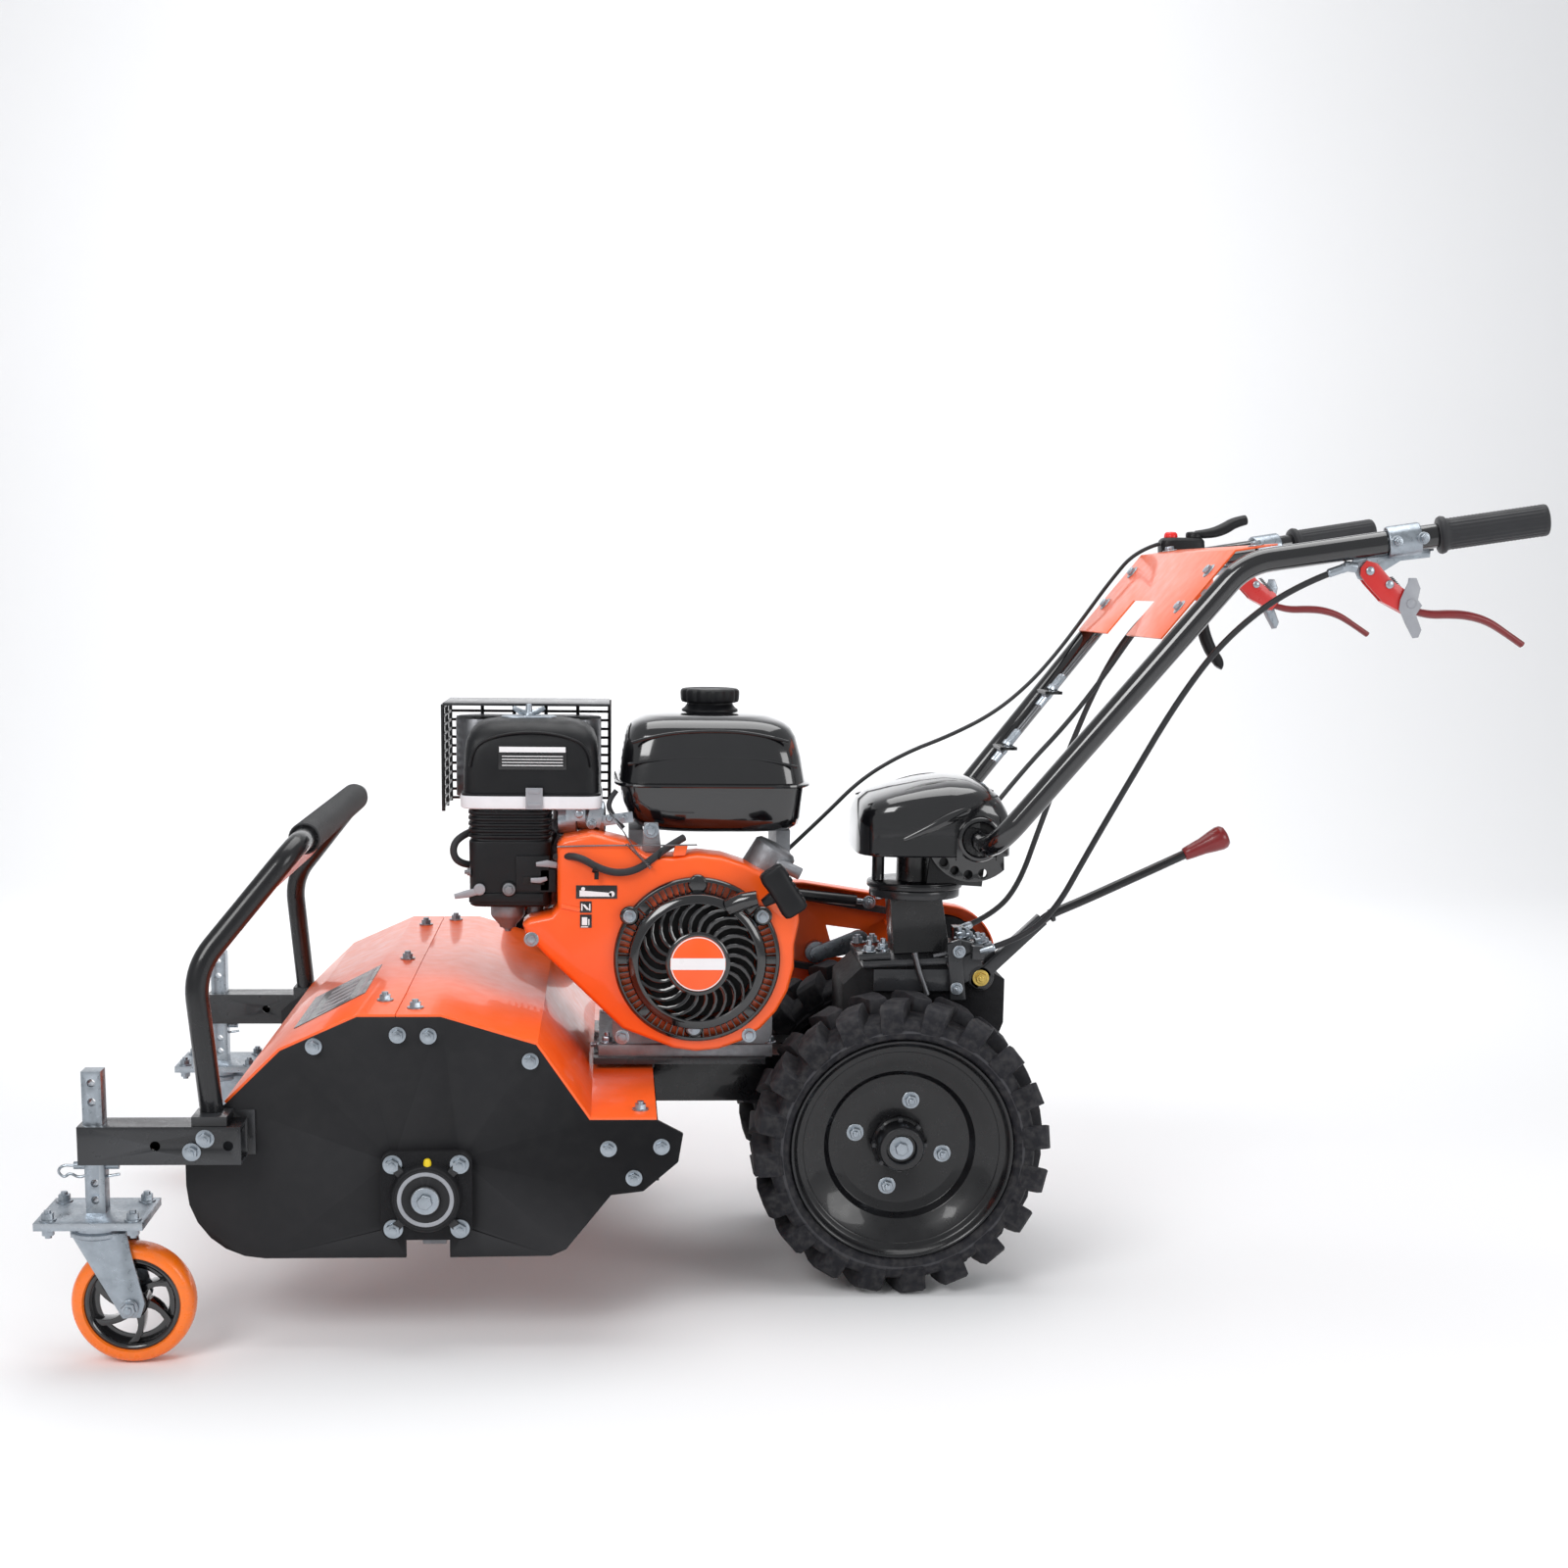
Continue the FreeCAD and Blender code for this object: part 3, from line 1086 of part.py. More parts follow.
def clutch_pivot(side):
    """A point just under the bar, on its centre plane."""
    spot = bar_at(side, CLUTCH_X)
    return at(spot.x, spot.y, spot.z - CLUTCH_DROP)


def latch_pivot(side):
    return clutch_pivot(side) + Vector(46, 0, -34)


def lever_brackets():
    solids = []
    for side in (-1, 1):
        pivot = clutch_pivot(side)
        web_line = around((pivot.x, pivot.z),
                          [(-16, 31), (66, 38), (66, 15), (34, 11), (12, -3), (2, -11), (-10, -9),
                                               (-18, 7)])
        web = prism(web_line, pivot.y - 2, pivot.y + 2)
        ring_middle = bar_at(side, CLUTCH_X + 34)
        way = (bar_at(side, CLUTCH_X + 94) - bar_at(side, CLUTCH_X - 6)).normalize()
        clamp = Part.makeCylinder(s.bar_radius + 3, 34, ring_middle - way * 17, way)
        hole = cylinder(pivot, 4 + s.running, 20, "y")
        solids.append(join([web, clamp]).cut(hole).cut(bar_core(side)))
    subpart("lever_brackets", feature(Part.makeCompound(solids)))


def bar_core(side):
    """The bar's upper run as a solid round bar, for cutting what is clamped on it."""
    end, bend = bar_points(side)[:2]
    way = (end - bend).normalize()
    return Part.makeCylinder(s.bar_radius, (end - bend).Length, bend, way)


def clutch_levers():
    """Each lever is a channel with a wavy blade, and its latch is a tongue on a pin of its own."""
    for name, side in LEFT_RIGHT:
        pivot = clutch_pivot(side)
        y = pivot.y
        from_pivot = (pivot.x, pivot.z)
        cheek_line = around(from_pivot, [(-8, 5), (-2, 10), (7, 7), (22, -9), (46, -25), (52, -35),
                                         (42, -45),
                                         (16, -31), (-2, -13), (-9, -5)])
        cheeks = [prism(cheek_line, y + d * 4.5 - 1.5, y + d * 4.5 + 1.5) for d in (-1, 1)]
        web = prism(around(from_pivot, [(16, -31), (21, -27), (50, -40), (42, -45)]), y - 5.9, y + 5.9)
        blade_line = around(from_pivot, [(44, -30), (62, -40), (106, -42), (130, -48), (172, -71),
                                         (175, -77),
                                         (169, -80), (126, -57), (104, -51), (58, -50), (40, -43)])
        blade = prism(blade_line, y - 4, y + 4)
        pin = cylinder(pivot, 4, 14, "y")
        catch = latch_pivot(side)
        catch_pin = cylinder(at(catch.x, y + side * 8, catch.z), 3, 8, "y")
        subpart(f"clutch_lever_{name}", feature(join(cheeks + [web, blade, pin, catch_pin])))
        tongue_line = around((catch.x, catch.z),
                             [(-4, 27), (4, 25), (8, 15), (5, 6), (10, -1), (4, -10), (12, -31),
                                                  (8, -36), (-2, -21), (-12, -3), (-6, 9)])
        tongue_y = y + side * 7.8
        tongue = prism(tongue_line, tongue_y - 1.2, tongue_y + 1.2)
        bore = cylinder(catch, 3 + s.running, 60, "y")
        subpart(f"lever_latch_{name}", feature(tongue.cut(bore)))


THROTTLE_X = 522.0


def throttle():
    spot = bar_at(1, THROTTLE_X)
    base_z = spot.z + s.bar_radius
    body = rounded_box(at(THROTTLE_X + 4, spot.y, base_z + 8), (56, 34, 18), 7)
    well = cylinder(at(THROTTLE_X - 10, spot.y, base_z + 14), 9 + s.gap, 12, "z")
    saddle = cuboid(at(THROTTLE_X, spot.y, base_z - 6), (30, 34, 14))
    subpart("throttle_housing", feature(join([body, saddle]).cut(bar_core(1)).cut(well)))
    button = cylinder(at(THROTTLE_X - 10, spot.y, base_z + 19), 9, 12, "z")
    subpart("stop_button", feature(button))
    hub_z = base_z + 17 + s.gap
    hub = cylinder(at(THROTTLE_X + 20, spot.y, hub_z + 3), 10, 6, "z")
    arm = prism([(THROTTLE_X + 20, hub_z), (THROTTLE_X + 60, hub_z + 10), (THROTTLE_X + 84, hub_z + 18),
                 (THROTTLE_X + 84, hub_z + 26), (THROTTLE_X + 56, hub_z + 17), (THROTTLE_X + 20,
                                                                                hub_z + 6)],
                spot.y - 6, spot.y + 6)
    subpart("throttle_lever", feature(join([hub, arm])))


def gear_lever():
    """The gear lever: a channel on the gearbox's side pin and a rod with a tapered knob."""
    y = -s.gearbox_half - 6
    pivot = at(GEAR_PIVOT[0], y, GEAR_PIVOT[1])
    tip = at(508, y, 521)
    way = (tip - pivot).normalize()
    plate = hull_of_circles((pivot.x, pivot.z), 13, (pivot.x + way.x * 96, pivot.z + way.z * 96), 9,
                            y - 4, y + 4)
    rod_part = Part.makeCylinder(6, (tip - pivot).Length - 60, pivot + way * 60, way)
    knob = Part.makeCone(8, 14, 46, tip - way * 40, way)
    bore = cylinder(pivot, 6 + s.running, 40, "y")
    subpart("gear_lever", feature(join([plate, rod_part, knob]).cut(bore)))


# ---------------------------------------------------------------- cables
CLUTCH_ROUTE = [(583, -231, 835), (528, -225, 815), (462, -208, 759), (417, -190, 689), (373, -162, 594),
                (338, -132, 513), (308, -106, 440), (272, -88, 405), (229, -76, 389)]
THROTTLE_ROUTE = [(496.5, 213, 867), (466, 213, 858), (434, 212, 819), (402, 205, 776), (366, 186, 732),
                  (324, 160, 690), (274, 132, 654), (216, 106, 628), (156, 80, 608), (100, 58, 578),
                  (52, 34, 534), (6, 6, 496)]
SAFETY_ROUTE = [(470, 60, 812), (436, 74, 762), (398, 84, 700), (354, 84, 642), (306, 70, 594),
                (268, 40, 556)]


def cable(points, section):
    route = [Vector(*p) for p in points]
    radii = []
    for before, corner, after in zip(route, route[1:], route[2:]):
        turn = (corner - before).getAngle(after - corner)
        run = min((corner - before).Length, (after - corner).Length)
        radii.append(0.45 * run / math.tan(turn / 2))
    path, tube_part = swept(route, radii, section)
    ratio = tube_part.Volume / (path.Length * math.pi * section ** 2)
    print("cable radii", [round(r) for r in radii], "volume ratio", round(ratio, 4))
    return tube_part


def control_cables():
    left = cable(CLUTCH_ROUTE, 3.5)
    right = cable([(x, -y, z) for x, y, z in CLUTCH_ROUTE], 3.5)
    speed = cable(THROTTLE_ROUTE, 2.5)
    safety = cable(SAFETY_ROUTE, 3.0)
    subpart("control_cables", feature(Part.makeCompound([left, right, speed, safety])))


# ---------------------------------------------------------------- fasteners
def fasteners():
    """Bolt heads and nuts on the deck, the bearings, the covers and the engine's bed."""
    heads = []
    outer = s.plate_face
    for side in (-1, 1):
        way = Vector(0, side, 0)
        for x, z in SIDE_BOLTS:
            lift = EAR_THICKNESS if side > 0 and (x, z) == EAR_BOLT else 0
            heads.append(bolt_head(at(x, side * (outer + lift), z), way, 6.5, 6))
        for x, z in bearing_bolts():
            heads.append(bolt_head(at(x, side * (outer + 12), z), way, 7.5, 7))
        arm_face = side * (s.arm_y + s.arm_size / 2)
        for x, z in ((-633, 230), (-619, 244)):
            heads.append(bolt_head(at(x, arm_face, z), way, 7, 6))
    edge = s.deck_half - 27
    for x, y in ((-446, 40 - edge), (-446, 0), (-446, edge - 40), (-410, -edge), (-410, edge)):
        heads.append(bolt_head(at(x, y, 362 + s.cover_thickness), Vector(0, 0, 1), 6.5, 5))
    for y in (-edge, edge):
        heads.append(bolt_head(at(-172, y, 251 + s.cover_thickness), Vector(0, 0, 1), 6.5, 5))
    for x in (100, 118):
        for y in (-54, 54):
            heads.append(bolt_head(at(x, y, 376 + (x - 100) * 0.045), Vector(-0.045, 0, 1), 6.5, 6))
    subpart("fasteners", feature(Part.makeCompound(heads)))


# ---------------------------------------------------------------- build and write
side_plates()
deck_covers()
bearing_housings()
rotor()
counter_shaft()
drive_belts()
side_belt_guard()
chassis_beam()
caster_arms()
guard_bar()
for caster_name, caster_side in LEFT_RIGHT:
    caster(caster_name, caster_side)
    drive_wheel(caster_name, caster_side)
gearbox()
input_pulley()
belt_cover()
handle_column()
tension_arm()
handle_turntable()
handle_cover()
crankcase()
cylinder_and_head()
crankshaft()
fan_shroud()
recoil_cover()
pull_handle()
fuel_tank()
air_cleaner()
intake()
exhaust()
handlebar()
grips()
console()
hand_lever()
lever_brackets()
clutch_levers()
throttle()
gear_lever()
control_cables()
fasteners()
doc.recompute()

for item in doc.Objects:
    if "Invalid" in item.State or "Error" in item.State:
        raise RuntimeError(f"{item.Name} {item.Label} did not build: {item.State}")
for node, piece in subparts.items():
    if piece.Label != node:
        raise RuntimeError(f"the label {node} is taken: {piece.Label}")
    if piece.Shape.isNull() or not piece.Shape.isValid():
        raise RuntimeError(f"{node} is not a valid solid")

os.makedirs("parts", exist_ok=True)
for node, piece in subparts.items():
    piece.Shape.exportStep(f"parts/{node}.step")
print(len(subparts), "sub-parts written")
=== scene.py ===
"""Looks of the walk-behind flail mower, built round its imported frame.

Shapes are given in millimetres in the machine's frame and turned into metres when a piece is made.
"""

import json
import math

import bmesh
import bpy
from mathutils import Matrix, Vector


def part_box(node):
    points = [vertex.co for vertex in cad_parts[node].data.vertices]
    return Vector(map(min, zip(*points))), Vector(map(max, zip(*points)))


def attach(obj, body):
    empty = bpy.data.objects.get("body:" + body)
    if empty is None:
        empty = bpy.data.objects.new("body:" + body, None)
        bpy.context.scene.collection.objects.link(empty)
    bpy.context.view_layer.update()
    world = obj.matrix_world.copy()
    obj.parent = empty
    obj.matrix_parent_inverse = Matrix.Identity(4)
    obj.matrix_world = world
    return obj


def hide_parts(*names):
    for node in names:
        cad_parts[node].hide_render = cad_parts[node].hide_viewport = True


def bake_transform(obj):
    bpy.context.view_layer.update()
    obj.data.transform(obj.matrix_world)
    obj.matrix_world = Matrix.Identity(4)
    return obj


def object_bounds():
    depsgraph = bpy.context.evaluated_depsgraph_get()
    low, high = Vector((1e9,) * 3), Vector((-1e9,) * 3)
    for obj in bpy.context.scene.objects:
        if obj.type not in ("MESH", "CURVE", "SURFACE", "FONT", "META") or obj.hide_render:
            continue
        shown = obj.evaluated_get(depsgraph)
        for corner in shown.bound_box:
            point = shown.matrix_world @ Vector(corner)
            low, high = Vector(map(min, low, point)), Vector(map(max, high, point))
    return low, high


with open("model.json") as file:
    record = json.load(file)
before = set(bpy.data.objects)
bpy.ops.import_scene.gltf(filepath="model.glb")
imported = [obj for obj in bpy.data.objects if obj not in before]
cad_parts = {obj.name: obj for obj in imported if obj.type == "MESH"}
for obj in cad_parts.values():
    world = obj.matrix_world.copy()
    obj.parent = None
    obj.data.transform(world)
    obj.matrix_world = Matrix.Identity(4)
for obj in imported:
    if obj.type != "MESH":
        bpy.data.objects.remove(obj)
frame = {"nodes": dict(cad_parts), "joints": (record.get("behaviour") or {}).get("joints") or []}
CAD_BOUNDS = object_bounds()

MM = 0.001
SIDES = (("left", -1), ("right", 1))
LEFT, RIGHT = (0, -1, 0), (0, 1, 0)
UP, DOWN = (0, 0, 1), (0, 0, -1)
PLANES = {
    "x": (Vector((0, 1, 0)), Vector((0, 0, 1)), Vector((1, 0, 0))),
    "y": (Vector((1, 0, 0)), Vector((0, 0, 1)), Vector((0, 1, 0))),
    "z": (Vector((1, 0, 0)), Vector((0, 1, 0)), Vector((0, 0, 1))),
}
JOINT = {j["name"]: Vector(j["pos_m"]) / MM for j in frame["joints"] if "pos_m" in j}


# ---------------------------------------------------------------- materials
def linear(red, green, blue):
    """A colour given as 0-255 display values, as the shader's linear values."""
    return [((c / 255 + 0.055) / 1.055) ** 2.4 if c > 10 else c / 255 / 12.92 for c in (red, green, blue)]


def feed(tree, socket, value):
    """Links a socket to another node's, or sets its value."""
    if isinstance(value, bpy.types.NodeSocket):
        tree.links.new(value, socket)
    else:
        socket.default_value = value


def add_node(tree, kind, **inputs):
    """A shader node whose inputs are values or other nodes' sockets."""
    node = tree.nodes.new("ShaderNode" + kind)
    for name, value in inputs.items():
        feed(tree, node.inputs[name.replace("_", " ")], value)
    return node


def mixed(tree, factor, first, second):
    """Two colours mixed by a factor."""
    node = tree.nodes.new("ShaderNodeMix")
    node.data_type = "RGBA"
    for index, value in ((0, factor), (6, first), (7, second)):
        feed(tree, node.inputs[index], value)
    return node.outputs[2]


def ranged(tree, value, low, high, start=0.0, end=1.0):
    """A value's stretch from start to end, spread from low to high."""
    node = add_node(tree, "MapRange", Value=value, From_Min=start, From_Max=end, To_Min=low, To_Max=high)
    return node.outputs["Result"]


def finish_of(name, color, roughness, metallic=0.0, coat=0.0, mottle=0.08, patch=14.0, grain=0.1,
              grain_scale=900.0, spread=0.06, edge=None, dust=None, stretch=(1, 1, 1), sheen=0.0,
              specular=0.5):
    """A procedural finish: mottled colour, uneven gloss, fine grain, and a painted highlight on edges or dust
    where given.

    The painted edge highlight and the dust are each a colour and its share.
    """
    made = bpy.data.materials.new(name)
    made.use_nodes = True
    tree = made.node_tree
    shader = tree.nodes["Principled BSDF"]
    shader.inputs["Metallic"].default_value = metallic
    shader.inputs["Coat Weight"].default_value = coat
    shader.inputs["Coat Roughness"].default_value = 0.06
    shader.inputs["Sheen Weight"].default_value = sheen
    shader.inputs["Specular IOR Level"].default_value = specular
    place = add_node(tree, "TexCoord").outputs["Object"]
    place = add_node(tree, "Mapping", Vector=place, Scale=stretch).outputs["Vector"]
    patches = add_node(tree, "TexNoise", Vector=place, Scale=patch, Detail=5.0, Roughness=0.6).outputs["Fac"]
    fine = add_node(tree, "TexNoise", Vector=place, Scale=grain_scale, Detail=3.0).outputs["Fac"]
    smudge = add_node(tree, "TexNoise", Vector=place, Scale=patch * 4.3, Detail=4.0).outputs["Fac"]
    dark = [c * (1 - mottle) for c in color] + [1]
    light = [min(1, c * (1 + mottle) + mottle * 0.004) for c in color] + [1]
    base = mixed(tree, ranged(tree, patches, 0, 1, 0.3, 0.7), dark, light)
    if dust:
        settled = ranged(tree, smudge, 0, dust[1], 0.42, 0.72)
        base = mixed(tree, settled, base, dust[0] + [1])
    # Convex edges, found by pointiness, are mixed towards a lighter colour: a painted highlight.
    if edge:
        edge_highlight_mask = add_node(tree, "NewGeometry").outputs["Pointiness"]
        base = mixed(tree, ranged(tree, edge_highlight_mask, 0, edge[1], 0.52, 0.6), base, edge[0] + [1])
    tree.links.new(base, shader.inputs["Base Color"])
    gloss = ranged(tree, smudge, max(0.02, roughness - spread), min(1, roughness + spread), 0.3, 0.7)
    tree.links.new(gloss, shader.inputs["Roughness"])
    bump = add_node(tree, "Bump", Height=fine, Strength=grain, Distance=0.0004)
    tree.links.new(bump.outputs["Normal"], shader.inputs["Normal"])
    return made


ORANGE = linear(249, 90, 12)
# Each edge colour here is a lighter tone mixed onto convex edges: a painted highlight.
PAINT = {
    "orange": finish_of("orange_paint", ORANGE, 0.34, coat=0.35, mottle=0.05, grain=0.03, grain_scale=420,
                        edge=(linear(250, 122, 66), 0.4)),
    "black": finish_of("black_paint", linear(11, 11, 14), 0.3, specular=0.35, coat=0.35, mottle=0.2,
                       grain=0.08,
                       edge=(linear(86, 88, 92), 0.45)),
    "plate": finish_of("black_powder_coat", linear(15, 15, 18), 0.5, specular=0.16, mottle=0.16, grain=0.3,
                       grain_scale=1500,
                       edge=(linear(90, 90, 92), 0.5), dust=(linear(70, 69, 67), 0.06)),
    "gloss": finish_of("gloss_black", linear(11, 11, 14), 0.14, coat=0.9, mottle=0.2, grain=0.02,
                       grain_scale=300,
                       spread=0.03),
    "moulded": finish_of("moulded_black", linear(16, 17, 20), 0.42, specular=0.3, mottle=0.12, grain=0.4,
                         grain_scale=1800,
                         spread=0.08),
    "zinc": finish_of("zinc_plate", linear(158, 166, 174), 0.34, metallic=0.95, mottle=0.14, patch=60,
                      grain=0.1,
                      grain_scale=1300, spread=0.1, edge=(linear(196, 200, 204), 0.4)),
    "steel": finish_of("bare_steel", linear(118, 119, 122), 0.38, metallic=0.95, mottle=0.2, patch=30,
                       grain=0.25,
                       stretch=(1, 6, 1), spread=0.12),
    "cast": finish_of("cast_iron_black", linear(18, 18, 21), 0.55, specular=0.25, metallic=0.2, mottle=0.25,
                      patch=40, grain=0.9,
                      grain_scale=520, edge=(linear(110, 110, 112), 0.4)),
    "aluminium": finish_of("cast_aluminium", linear(138, 140, 144), 0.48, metallic=0.8, mottle=0.14, patch=40,
                           grain=0.7, grain_scale=640, spread=0.12),
    "tyre": finish_of("tyre_rubber", linear(27, 27, 32), 0.7, specular=0.22, mottle=0.25, patch=26, grain=0.5,
                      grain_scale=700,
                      dust=(linear(104, 102, 100), 0.22), edge=(linear(90, 90, 94), 0.4)),
    "rubber": finish_of("soft_rubber", linear(24, 25, 29), 0.58, mottle=0.15, grain=0.4, grain_scale=1400,
                        sheen=0.15),
    "tread": finish_of("orange_tread", linear(255, 118, 20), 0.3, coat=0.25, mottle=0.05, patch=30,
                       grain=0.06,
                       dust=(linear(190, 120, 70), 0.2)),
    "red": finish_of("red_lever_paint", linear(190, 12, 18), 0.32, coat=0.3, mottle=0.08, grain=0.06,
                     edge=(linear(230, 90, 80), 0.5)),
    "vinyl": finish_of("dark_red_vinyl", linear(118, 9, 15), 0.36, coat=0.3, mottle=0.12, patch=40,
                       grain=0.15),
    "button": finish_of("red_button", linear(226, 26, 24), 0.3, coat=0.3, mottle=0.06, grain=0.08),
    "pale": finish_of("pale_plastic", linear(228, 229, 233), 0.42, mottle=0.04, patch=50, grain=0.15),
    "grey": finish_of("grey_plastic", linear(150, 152, 158), 0.4, mottle=0.08, patch=50, grain=0.15),
    "brass": finish_of("yellow_zinc", linear(206, 178, 96), 0.32, metallic=0.9, mottle=0.2, patch=90,
                       grain=0.1),
    "yellow": finish_of("yellow_cap", linear(226, 196, 22), 0.4, mottle=0.06, patch=60, grain=0.1),
    "decal_black": finish_of("decal_black", linear(26, 26, 28), 0.3, coat=0.3, mottle=0.1, grain=0.03),
    "decal_white": finish_of("decal_white", linear(236, 236, 238), 0.32, coat=0.3, mottle=0.03, grain=0.03),
    # A near-black for dark sheets set into hollows: painted shade.
    "dark": finish_of("painted_shade_black", linear(12, 12, 13), 0.8, mottle=0.2, grain=0.3),
}


# ---------------------------------------------------------------- building meshes
class Shape:
    """Collects solids in millimetres, then becomes one object that rides on a body."""

    def __init__(self):
        self.verts = []
        self.faces = []

    def add(self, verts, faces):
        start = len(self.verts)
        self.verts += [Vector(v) for v in verts]
        self.faces += [[start + i for i in face] for face in faces]
        return self

    def loft(self, loops, ring=False):
        """Joins closed loops that have as many points each. A ring joins the last to the first."""
        n = len(loops[0])
        faces = []
        for i in range(len(loops) if ring else len(loops) - 1):
            a, b = i * n, (i + 1) % len(loops) * n
            faces += [[a + j, a + (j + 1) % n, b + (j + 1) % n, b + j] for j in range(n)]
        if not ring:
            faces += [list(range(n))[::-1], [(len(loops) - 1) * n + j for j in range(n)]]
        return self.add([p for loop in loops for p in loop], faces)

    def lathe(self, profile, centre, axis="y", segments=48, ring=False, wave=None):
        """Turns (radius, height) points about an axis. A wave scales the radius by the angle."""
        u, v, w = plane_of(axis)
        loops = []
        for radius, height in profile:
            loop = []
            for i in range(segments):
                angle = 2 * math.pi * i / segments
                reach = max(radius, 0.02) * (wave(angle) if wave else 1)
                loop.append(Vector(centre) + (u * math.cos(angle) + v * math.sin(angle)) * reach + w * height)
            loops.append(loop)
        return self.loft(loops, ring)

    def prism(self, outline, low, high, axis="y", centre=(0, 0, 0)):
        """An outline in the plane square to the axis, from one height to another."""
        u, v, w = plane_of(axis)
        return self.loft([[Vector(centre) + u * a + v * b + w * h for a, b in outline] for h in (low, high)])

    def box(self, centre, size, turn=None):
        corners = [(-1, -1), (1, -1), (1, 1), (-1, 1)]
        turn = turn or Matrix.Identity(3)
        loops = []
        for top in (-1, 1):
            loops.append([Vector(centre) + turn @ Vector((a * size[0], b * size[1], top * size[2])) / 2 for a,
                          b in corners])
        return self.loft(loops)

    def tube(self, line, radius, sides=10, flat=1.0):
        """A round bar along points; the radius is one number or one for each point."""
        line = [Vector(p) for p in line]
        radii = radius if isinstance(radius, (list, tuple)) else [radius] * len(line)
        loops = []
        side = None
        for i, (point, reach) in enumerate(zip(line, radii)):
            way = (line[min(i + 1, len(line) - 1)] - line[max(i - 1, 0)]).normalized()
            if side is None:
                sideways = abs(way.y) > 0.9
                side = (way.orthogonal() if sideways else way.cross(Vector(RIGHT))).normalized()
            side = (side - way * side.dot(way)).normalized()
            other = way.cross(side)
            loops.append([point + (side * math.cos(a) + other * (math.sin(a) * flat)) * reach
                          for a in (2 * math.pi * k / sides for k in range(sides))])
        return self.loft(loops)

    def bolt(self, spot, way, size=6.0, height=5.0, tip=2.6, washer=1.42):
        """Washer, chamfered hexagon and the end of its thread, standing on a face."""
        way = Vector(way).normalized()
        spot = Vector(spot)
        r = size * washer
        self.lathe([(r - 0.4, 0), (r, 0.4), (r, 1.2), (r - 0.4, 1.6)], spot, way, 24)
        self.lathe([(size, 1.6), (size, height + 0.6), (size * 0.9, height + 1.6)], spot, way, 6)
        if tip:
            r = size * 0.52
            profile = [(r, height + 1.6), (r, height + 1.0 + tip), (r - 0.7, height + 1.6 + tip)]
            self.lathe(profile, spot, way, 16)
        return self

    def done(self, name, finish, body="root", slot=None, replaces=(), bevel=0.0, sharp=34.0):
        """Makes the piece, with a bevel in millimetres; edges over so many degrees stay sharp."""
        mesh = bpy.data.meshes.new(name)
        mesh.from_pydata([v * MM for v in self.verts], [], self.faces)
        work = bmesh.new()
        work.from_mesh(mesh)
        bmesh.ops.recalc_face_normals(work, faces=work.faces)
        if bevel:
            bmesh.ops.bevel(work, geom=edges_over(work, 28), offset=bevel * MM, segments=2, profile=0.6,
                            affect="EDGES", clamp_overlap=True)
        for face in work.faces:
            face.smooth = True
        for edge in edges_over(work, sharp):
            edge.smooth = False
        work.to_mesh(mesh)
        work.free()
        piece = bpy.data.objects.new(name, mesh)
        bpy.context.scene.collection.objects.link(piece)
        mesh.materials.append(PAINT[finish])
        if body:
            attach(piece, body)
        if replaces:
            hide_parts(*replaces)
        return piece


def edges_over(work, degrees):
    """The edges where two faces meet at more than an angle."""
    return [e for e in work.edges if len(e.link_faces) == 2 and e.calc_face_angle(0) > math.radians(degrees)]


def plane_of(axis):
    """Two directions square to an axis, and the axis itself."""
    if isinstance(axis, str):
        return PLANES[axis]
    w = Vector(axis).normalized()
    u = w.orthogonal().normalized()
    return u, w.cross(u), w


def polar(radius, degrees):
    angle = math.radians(degrees)
    return radius * math.cos(angle), radius * math.sin(angle)


def turned_about(axis, degrees):
    return Matrix.Rotation(math.radians(degrees), 3, axis)


def middle_of(node):
    """The middle of a node's box, seen from above."""
    low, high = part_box(node)
    return (low.x + high.x) / 2 / MM, (low.y + high.y) / 2 / MM


def rounded(centre, half, power, z, count):
    """A superellipse loop at one height."""
    loop = []
    for i in range(count):
        angle = 2 * math.pi * (i + 0.5) / count
        c, s = math.cos(angle), math.sin(angle)
        loop.append(Vector((centre[0] + half[0] * math.copysign(abs(c) ** (2 / power), c),
                            centre[1] + half[1] * math.copysign(abs(s) ** (2 / power), s), z)))
    return loop


def stacked(x, y, sections, count=88):
    """Superellipse loops over one point, each a height, two half widths and a power."""
    return [rounded((x, y), (half_x, half_y), power, z, count) for z, half_x, half_y, power in sections]


def smooth_line(points, steps=8):
    """Points along the NURBS curve of order 3 that a route's points control."""
    curve = bpy.data.curves.new("route", "CURVE")
    curve.dimensions = "3D"
    curve.resolution_u = steps
    spline = curve.splines.new("NURBS")
    spline.points.add(len(points) - 1)
    for control, point in zip(spline.points, points):
        control.co = (*point, 1)
    spline.order_u = 3
    spline.use_endpoint_u = True
    holder = bpy.data.objects.new("route", curve)
    mesh = bpy.data.meshes.new_from_object(holder)
    line = [v.co.copy() for v in mesh.vertices]
    bpy.data.objects.remove(holder)
    bpy.data.meshes.remove(mesh)
    return line


def coil_line(start, reach, radius, coils, corners=10):
    """The centre line of a spring that winds about the vertical while it runs along its reach."""
    line = []
    for i in range(coils * corners + 1):
        angle = 2 * math.pi * i / corners
        t = i / (coils * corners)
        line.append((start[0] + reach[0] * t + radius * math.cos(angle),
                     start[1] + reach[1] * t + radius * math.sin(angle), start[2] + reach[2] * t))
    return line


